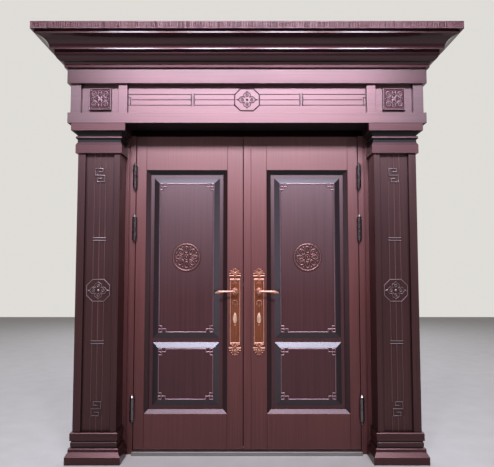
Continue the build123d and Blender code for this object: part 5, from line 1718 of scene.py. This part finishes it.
        legs = [arch[:1] - [[0, 18 * MM]], arch, arch[-1:] - [[0, 18 * MM]]]
        shell.loft(carried_bar(np.concatenate(legs), 4 * MM, 2.6 * MM, panel))
        tulip = [(aside * MM, self.hub - below * MM) for aside, below in ((0.5, 106), (9, 92), (7, 72))]
        self.both(shell, curve(*tulip), 5.5 * MM, 3.2 * MM, panel)
        eye, collar = circle((x, self.keyhole - 46 * MM), 4.5 * MM, 20), circle((x, self.hub), 21.5 * MM, 44)
        for path, width, rise in ((eye, 3 * MM, 2.4 * MM), (collar, 3.4 * MM, 2.6 * MM)):
            shell.loft(carried_bar(path, width, rise, panel, closed=True), closed=True)
        shell.loft(dome((x, self.hub - 25 * MM), (4.5 * MM, 6 * MM), 5 * MM, panel))
        shell.piece(f"{node}_ornament", [finishes.cast, finishes.plate], body, [])


@dataclass
class Lever:
    """A cast lever on a turned hub: a slender neck, a ring, and a leaf that droops to its tip.

    A row of the arm holds the share of its reach, its half height and its half depth, and a row of the
    hub the place out of the leaf and the radius. Sizes in rows are in millimetres.
    """

    side: Side
    inside: bool
    place: float = 80 * MM
    height: float = 1066 * MM
    reach: float = 132 * MM
    arm_out: float = 55.5 * MM
    leaf_middle: float = 37.5 * MM
    drop: float = 7 * MM
    sides: int = 28
    arm: tuple[Point3, ...] = (
        (0.0, 9.0, 7.2), (0.14, 7.0, 6.0), (0.34, 6.2, 5.4), (0.56, 7.2, 6.0),
        (0.60, 9.0, 7.2), (0.63, 9.0, 7.2), (0.66, 7.4, 6.0), (0.78, 10.4, 7.2),
        (0.85, 9.6, 6.6), (0.93, 6.0, 4.6), (1.0, 0.8, 0.8),
    )
    hub: tuple[Point2, ...] = (
        (8.3, 18.0), (12.0, 18.0), (13.5, 17.2), (14.5, 15.0), (17.0, 15.6), (19.0, 13.4), (24.0, 10.8),
        (36.0, 10.8), (43.0, 13.0), (46.0, 15.8), (48.0, 16.6), (51.0, 17.2), (56.0, 17.0), (59.5, 15.4),
    )
    hub_ground: tuple[Point2, ...] = ((58.0, 13.6), (60.4, 13.4), (61.0, 12.0))
    hub_face: float = 60.7 * MM
    spindle: Point2 = (-103 * MM, 28 * MM)
    spindle_radius: float = 6 * MM

    def build(self, finishes: Finishes) -> None:
        """Builds the lever in place of its CAD node.

        Along the arm the section is an ellipse whose half height and half depth flow between
        stations, and its middle line drops by drop * s^3 towards the tip. The hub is turned.

        Args:
            finishes: the door's finishes.
        """
        x = self.side.x(self.place)
        neck, ring, leaf = np.linspace(0, 0.58, 22), np.linspace(0.6, 0.68, 11), np.linspace(0.7, 1.0, 26)
        share = np.concatenate([neck, ring, leaf])
        stations, tall, deep = np.array(self.arm).T
        tall, deep = (eased(share, stations, half * MM) for half in (tall, deep))
        turn = angles(self.sides)[None, :]
        leafy = np.clip((share - 0.675) / 0.1, 0, 1) * np.clip((1 - share) / 0.06, 0, 1)
        flutes = 1 - 0.085 * leafy[:, None] * (0.5 + 0.5 * np.cos(7 * turn))
        z = self.height - self.drop * share[:, None] ** 3 + tall[:, None] * np.sin(turn) * flutes
        out = self.arm_out + deep[:, None] * np.cos(turn) * flutes
        shell = Shell()
        shell.loft(facing(x + self.side.x(self.reach - 1 * MM) * share[:, None], out, z, 0.0))
        for slot, rows in enumerate((self.hub, self.hub_ground)):
            spots, radii = np.array(rows).T * MM
            shell.loft(turned((x, self.height), spots, radii, 0.0), slot=slot)
        curl = spiral((x, self.height), (12.4 * MM, 2.2 * MM), 200.0, self.side.value * 1.9, 60)
        shell.loft(carried_bar(curl, 3.4 * MM, 2.2 * MM, -self.hub_face))
        shell.loft(dome((x, self.height), (2.6 * MM, 2.6 * MM), 2.2 * MM, -self.hub_face))
        curl_tip = (x + self.side.x(self.reach - 8 * MM), self.height - self.drop - 2.2 * MM)
        scroll = spiral(curl_tip, (5.2 * MM, 1.2 * MM), 90.0, -self.side.value * 1.3, 30)
        shell.loft(carried_bar(scroll, 2.6 * MM, 2.0 * MM, -self.arm_out - 3.0 * MM))
        word = "inner" if self.inside else "outer"
        if not self.inside:
            radii = np.full(2, self.spindle_radius)
            shell.loft(turned((x, self.height), np.array(self.spindle), radii, 0.0, 24))
        else:
            shell.points = [points * [1, -1, 1] + [0, 2 * self.leaf_middle, 0] for points in shell.points]
        node = f"{self.side.word}_{word}_lever"
        materials = [finishes.cast, finishes.plate]
        shell.piece(f"{node}_cast", materials, f"{self.side.word}_handle", [node])


@dataclass
class KeyholeCover:
    """A polished oval cover, domed inside a rim, that swings on a pin near its top.

    A row of the section holds the share of the radius and the share of the thickness.
    """

    side: Side
    pin_inset: float = 9 * MM
    pin_radius: float = 3 * MM
    thick: float = 4 * MM
    sides: int = 56
    section: tuple[Point2, ...] = (
        (0.97, 0.0), (1.0, 0.1), (1.0, 0.3), (0.97, 0.38), (0.93, 0.40), (0.86, 0.34), (0.82, 0.3),
        (0.79, 0.36), (0.7, 0.58), (0.58, 0.76), (0.45, 0.88), (0.3, 0.96), (0.15, 1.0), (0.02, 1.0),
    )

    def build(self, finishes: Finishes) -> None:
        """Builds the cover in place of its CAD node.

        Its outline is an ellipse whose width is taken in by 0.88 - 0.16 sin t, so it is a drop that
        is narrow above; its height follows the section.

        Args:
            finishes: the door's finishes.
        """
        node = f"{self.side.word}_keyhole_cover"
        low, high = as_arrays(node)
        back = low[1] + self.thick
        middle, half = face_of(low, high)
        shares, lifts = np.array(self.section).T[:, :, None]
        turn = angles(self.sides)[None, :]
        taper = 0.88 - 0.16 * np.sin(turn)
        x = middle[0] + half[0] * shares * np.cos(turn) * taper
        z = middle[1] + half[1] * shares * np.sin(turn)
        shell = Shell()
        shell.loft(facing(x, lifts * self.thick, z, back))
        pin = (middle[0], high[2] - self.pin_inset)
        shell.loft(turned(pin, np.array([back - high[1], 0.0]), np.full(2, self.pin_radius), back, 20))
        shell.piece(f"{node}_domed", [finishes.cover], f"{self.side.word}_cover", [node])


# Hinges and seals


@dataclass
class Hinges:
    """The hinges of a leaf: turned barrels in two halves with pointed ends, on feet behind them.

    A row of the barrel or the cone holds millimetres along the axis and the share of the radius.
    """

    side: Side
    line: Point2 = (756 * MM, -16 * MM)
    heights: tuple[float, ...] = (295 * MM, 1488 * MM, 1838 * MM)
    half_length: float = 75 * MM
    radius: float = 15 * MM
    gap: float = 0.3 * MM
    foot_leaf: Point2 = (742 * MM, 749.7 * MM)
    foot_frame: Point2 = (754.3 * MM, 770 * MM)
    foot_heights: Point2 = (12 * MM, 62 * MM)
    foot_ease: float = 0.5 * MM
    barrel: tuple[Point2, ...] = (
        (0, 0.95), (1, 1), (4.5, 1), (5, 0.93), (6.5, 0.93), (7, 1),
        (66, 1), (66.5, 0.93), (68, 0.93), (68.5, 1), (74, 1), (75, 0.94),
    )
    cone: tuple[Point2, ...] = (
        (-1, 0.85), (0, 0.9), (1.5, 0.9), (3, 0.84), (14, 0.42),
        (15, 0.36), (16, 0.44), (18, 0.44), (19.5, 0.32), (20, 0.05),
    )

    def half(self, shell: Shell, height: float, way: int, foot: Point2) -> None:
        """Adds one half of a hinge: a ringed barrel, a stepped cone with a button, and the foot.

        Args:
            shell: the mesh that it goes into.
            height: of the hinge's middle.
            way: 1 for the upper half, -1 for the lower.
            foot: the foot's nearer and farther side from the middle of the doorway.
        """
        axis = (self.side.x(self.line[0]), self.line[1])
        marks, girths = np.array(self.barrel).T
        marks = marks * MM
        marks[0] += self.gap if way > 0 else 0.0
        shell.loft(turned_upright(axis, height + way * marks, self.radius * girths))
        ends, taper = np.array(self.cone).T
        ends = self.half_length + ends * MM
        # The upper cones take a lighter copy of the bronze: painted highlight.
        shell.loft(turned_upright(axis, height + way * ends, self.radius * taper), slot=int(way > 0))
        x = sorted(self.side.x(place) for place in foot)
        z = sorted(height + way * place for place in self.foot_heights)
        low, high = np.array([x[0], self.line[1], z[0]]), np.array([x[1], 0.0, z[1]])
        shell.loft(board_rings(low, high, self.foot_ease))

    def build(self, finishes: Finishes) -> None:
        """Builds the halves on the leaf and the halves on the frame, in place of their CAD nodes.

        Args:
            finishes: the door's finishes.
        """
        halves = (("hinge_knuckles", f"{self.side.word}_leaf", 1, self.foot_leaf),
                  ("hinge_posts", "frame", -1, self.foot_frame))
        for word, body, way, foot in halves:
            shell = Shell()
            for height in self.heights:
                self.half(shell, height, way, foot)
            node = f"{self.side.word}_{word}"
            materials = [finishes.bronze, finishes.lit_bronze_tip]
            shell.piece(f"{node}_turned", materials, body, [node])


@dataclass
class Seals:
    """Rubber strips that close the slits round the frame and between the leaves."""

    depth: Point2 = (0.2 * MM, 9 * MM)
    jamb: Point2 = (825.2 * MM, 834 * MM)
    head: Point2 = (2157.2 * MM, 2166 * MM)
    meeting: Point2 = (-31.1 * MM, -17.6 * MM)
    meeting_depth: Point2 = (62 * MM, 72 * MM)
    groove: Point2 = (770.2 * MM, 779.8 * MM)
    groove_depth: Point2 = (2 * MM, 11.8 * MM)
    post: Point2 = (1 * MM, 2100 * MM)
    leaf: Point2 = (31 * MM, 2116 * MM)
    ease: float = 0.8 * MM

    def build(self, finishes: Finishes) -> None:
        """Builds the strips, each a board with eased edges.

        Args:
            finishes: the door's finishes.
        """
        strips = [("meeting_seal", "right_leaf", self.meeting, self.meeting_depth, self.leaf),
                  ("head_seal", "frame", (-self.jamb[0], self.jamb[0]), self.depth, self.head)]
        # The groove strips are dark rubber laid in the jambs' grooves; their darkness also stands for the
        # shade in the grooves: painted shade.
        upright = (("jamb", self.jamb, self.depth, (0.0, self.head[0])),
                   ("groove", self.groove, self.groove_depth, self.post))
        strips += [(f"{side.word}_{word}_seal", "frame", sorted(map(side.x, across)), depth, heights)
                   for word, across, depth, heights in upright for side in Side]
        for name, body, x, y, z in strips:
            shell = Shell()
            shell.loft(board_rings(*(np.array(corner) for corner in zip(x, y, z)), self.ease))
            shell.piece(name, [finishes.seal], body, [])


# CAD nodes that keep their shape


class KeptNodes:
    """Gives a finish to each CAD node whose own shape is shown."""

    def __init__(self, nodes: dict[str, bpy.types.Object], slots: dict[str, str]) -> None:
        """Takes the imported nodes.

        Args:
            nodes: CAD objects by node name.
            slots: the record's material slot by node name.
        """
        self.nodes = nodes
        self.slots = slots

    def dress(self, finishes: Finishes) -> None:
        """Puts a finish on every node, by its slot and the way that its grain runs.

        Args:
            finishes: the door's finishes.
        """
        by_slot = {
            "antique_copper": finishes.plate, "sill_steel": finishes.sill,
            "seal_rubber": finishes.seal, "lock_steel": finishes.lock,
        }
        # Darker copies of the lacquer for the crown, the pilasters, the lintel's top board and the frame
        # head's front: painted shade.
        by_word = {
            "lintel_top": finishes.top_board, "crown": finishes.cornice, "frame_head": finishes.head,
            "frieze": finishes.level, "pilaster": finishes.antique_shaded_upright,
        }
        for name, thing in self.nodes.items():
            wooden = [finish for word, finish in by_word.items() if word in name]
            material = by_slot.get(self.slots[name], (wooden + [finishes.upright])[0])
            thing.data.materials.clear()
            thing.data.materials.append(material)
            LOG.info("%s keeps its shape in %s", name, material.name)


# Studio


@dataclass
class Studio:
    """Camera at the photograph's angle, pale floor and world, and soft light from above the approach.

    `dusk` is the stretch of directions along Y over which the world goes from dim to pale.
    """

    focal_share: float = 505 / 494
    eye: Point3 = (0.0, -3.40, 1.231)
    pitch: float = 3.725
    floor_half: float = 9.0
    row: tuple[float, ...] = (-2.2, -0.73, 0.73, 2.2)
    pale: Colour = (0.74, 0.72, 0.685)
    dim: Colour = (0.13, 0.13, 0.14)
    cool: Colour = (0.77, 0.81, 1.0)
    dusk: Point2 = (-0.3, 0.25)

    def camera(self) -> None:
        """Adds the camera."""
        data = bpy.data.cameras.new("approach_camera")
        data.sensor_fit = "HORIZONTAL"
        data.lens = self.focal_share * data.sensor_width
        data.clip_end = 60.0
        thing = bpy.data.objects.new("approach_camera", data)
        thing.location = self.eye
        thing.rotation_euler = (math.radians(90 + self.pitch), 0.0, 0.0)
        bpy.context.scene.collection.objects.link(thing)
        bpy.context.scene.camera = thing

    def floor(self) -> None:
        """Adds the pale floor."""
        half = self.floor_half
        mesh = bpy.data.meshes.new("floor")
        corners = [(-half, -half, 0), (half, -half, 0), (half, half, 0), (-half, half, 0)]
        mesh.from_pydata(corners, [], [(0, 1, 2, 3)])
        nodes = Nodes("pale_floor")
        cloud = nodes.noise((6.0, 6.0, 6.0))
        colour = nodes.ramp(cloud, [(0.3, (0.375, 0.345, 0.300)), (0.7, (0.405, 0.375, 0.330))])
        nodes.join(colour, nodes.shader.inputs["Base Color"])
        nodes.set(Roughness=0.6)
        mesh.materials.append(nodes.material)
        thing = bpy.data.objects.new("floor", mesh)
        bpy.context.scene.collection.objects.link(thing)

    def world(self) -> None:
        """Makes the world pale behind the door where it is seen or mirrored, and dim as light."""
        world = bpy.data.worlds.new("studio")
        world.use_nodes = True
        tree = world.node_tree
        tree.nodes.clear()

        def maths(
            operation: str, first: bpy.types.NodeSocket, second: bpy.types.NodeSocket
        ) -> bpy.types.NodeSocket:
            """Works one number out from two.

            Args:
                operation: Blender's name of the sum.
                first: the first number.
                second: the second number.

            Returns:
                The result's socket.
            """
            node = tree.nodes.new("ShaderNodeMath")
            node.operation = operation
            tree.links.new(first, node.inputs[0])
            tree.links.new(second, node.inputs[1])
            return node.outputs[0]

        kinds = ("LightPath", "TexCoord", "SeparateXYZ", "MapRange", "ValToRGB", "Background", "OutputWorld")
        rays, place, axes, behind, ramp, light, output = (
            tree.nodes.new(f"ShaderNode{kind}") for kind in kinds
        )
        for element, colour in zip(ramp.color_ramp.elements, (self.dim, self.pale)):
            element.color = (*colour, 1.0)
        for name, number in zip(("From Min", "From Max"), self.dusk):
            behind.inputs[name].default_value = number
        seen = maths("MAXIMUM", rays.outputs["Is Camera Ray"], rays.outputs["Is Glossy Ray"])
        seen = maths("MAXIMUM", seen, rays.outputs["Is Transmission Ray"])
        tree.links.new(place.outputs["Generated"], axes.inputs["Vector"])
        tree.links.new(axes.outputs["Y"], behind.inputs["Value"])
        tree.links.new(maths("MULTIPLY", seen, behind.outputs["Result"]), ramp.inputs["Fac"])
        tree.links.new(ramp.outputs["Color"], light.inputs["Color"])
        tree.links.new(light.outputs["Background"], output.inputs["Surface"])
        bpy.context.scene.world = world

    def softbox(self, name: str, place: Point3, aim: float, size: Point2, power: float) -> None:
        """Adds a rectangular lamp that faces a height on the middle line of the doorway.

        Args:
            name: the lamp's name.
            place: its middle.
            aim: the height that it faces.
            size: its width and height.
            power: in watts.
        """
        data = bpy.data.lights.new(name, "AREA")
        data.shape = "RECTANGLE"
        data.size, data.size_y = size
        data.energy = power
        data.color = self.cool
        thing = bpy.data.objects.new(name, data)
        thing.location = place
        thing.rotation_euler = (Vector((0.0, 0.0, aim)) - Vector(place)).to_track_quat("-Z", "Y").to_euler()
        thing.visible_camera = False
        bpy.context.scene.collection.objects.link(thing)

    def build(self) -> None:
        """Sets the whole studio up."""
        self.camera()
        self.floor()
        self.world()
        for number, x in enumerate(self.row):
            self.softbox(f"key_softbox_{number}", (x, -6.4, 6.3), 1.41, (0.9, 1.3), 272.0)
        self.softbox("ceiling_softbox", (0.0, -3.0, 6.4), 1.2, (4.0, 1.0), 156.0)
        for side in Side:
            self.softbox(f"{side.word}_softbox", (side.x(5.6), -5.9, 1.6), 1.3, (1.5, 3.0), 44.0)
            self.softbox(f"{side.word}_back_softbox", (side.x(1.8), 6.4, 4.9), 1.3, (2.0, 1.3), 230.0)
        bpy.context.scene.view_settings.view_transform = "Standard"


def main() -> None:
    """Loads the frame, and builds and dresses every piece."""
    logging.basicConfig(level=logging.INFO, format="%(message)s")
    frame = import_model()
    slots = {part["node"]: part["material_slot"] for part in frame["record"]["subparts"]}
    finishes = Finishes()
    KeptNodes(frame["nodes"], slots).dress(finishes)
    LintelBottomBoard().build(finishes)
    FriezePanel().build(finishes)
    CornerBlocks().build(finishes)
    ReededSlab().build(finishes)
    for side in Side:
        MouldedBlock.capital(side).build(finishes)
        MouldedBlock.plinth(side).build(finishes)
        PilasterPanel(side).build(finishes)
        LeafPanel(side).build(finishes)
        PanelMoulding(side).build(finishes)
        Medallion(side).build(finishes)
        OuterPlate(side).build(finishes)
        Lever(side, inside=False).build(finishes)
        Lever(side, inside=True).build(finishes)
        KeyholeCover(side).build(finishes)
        Hinges(side).build(finishes)
    Seals().build(finishes)
    Studio().build()


if __name__ == "__main__":
    main()
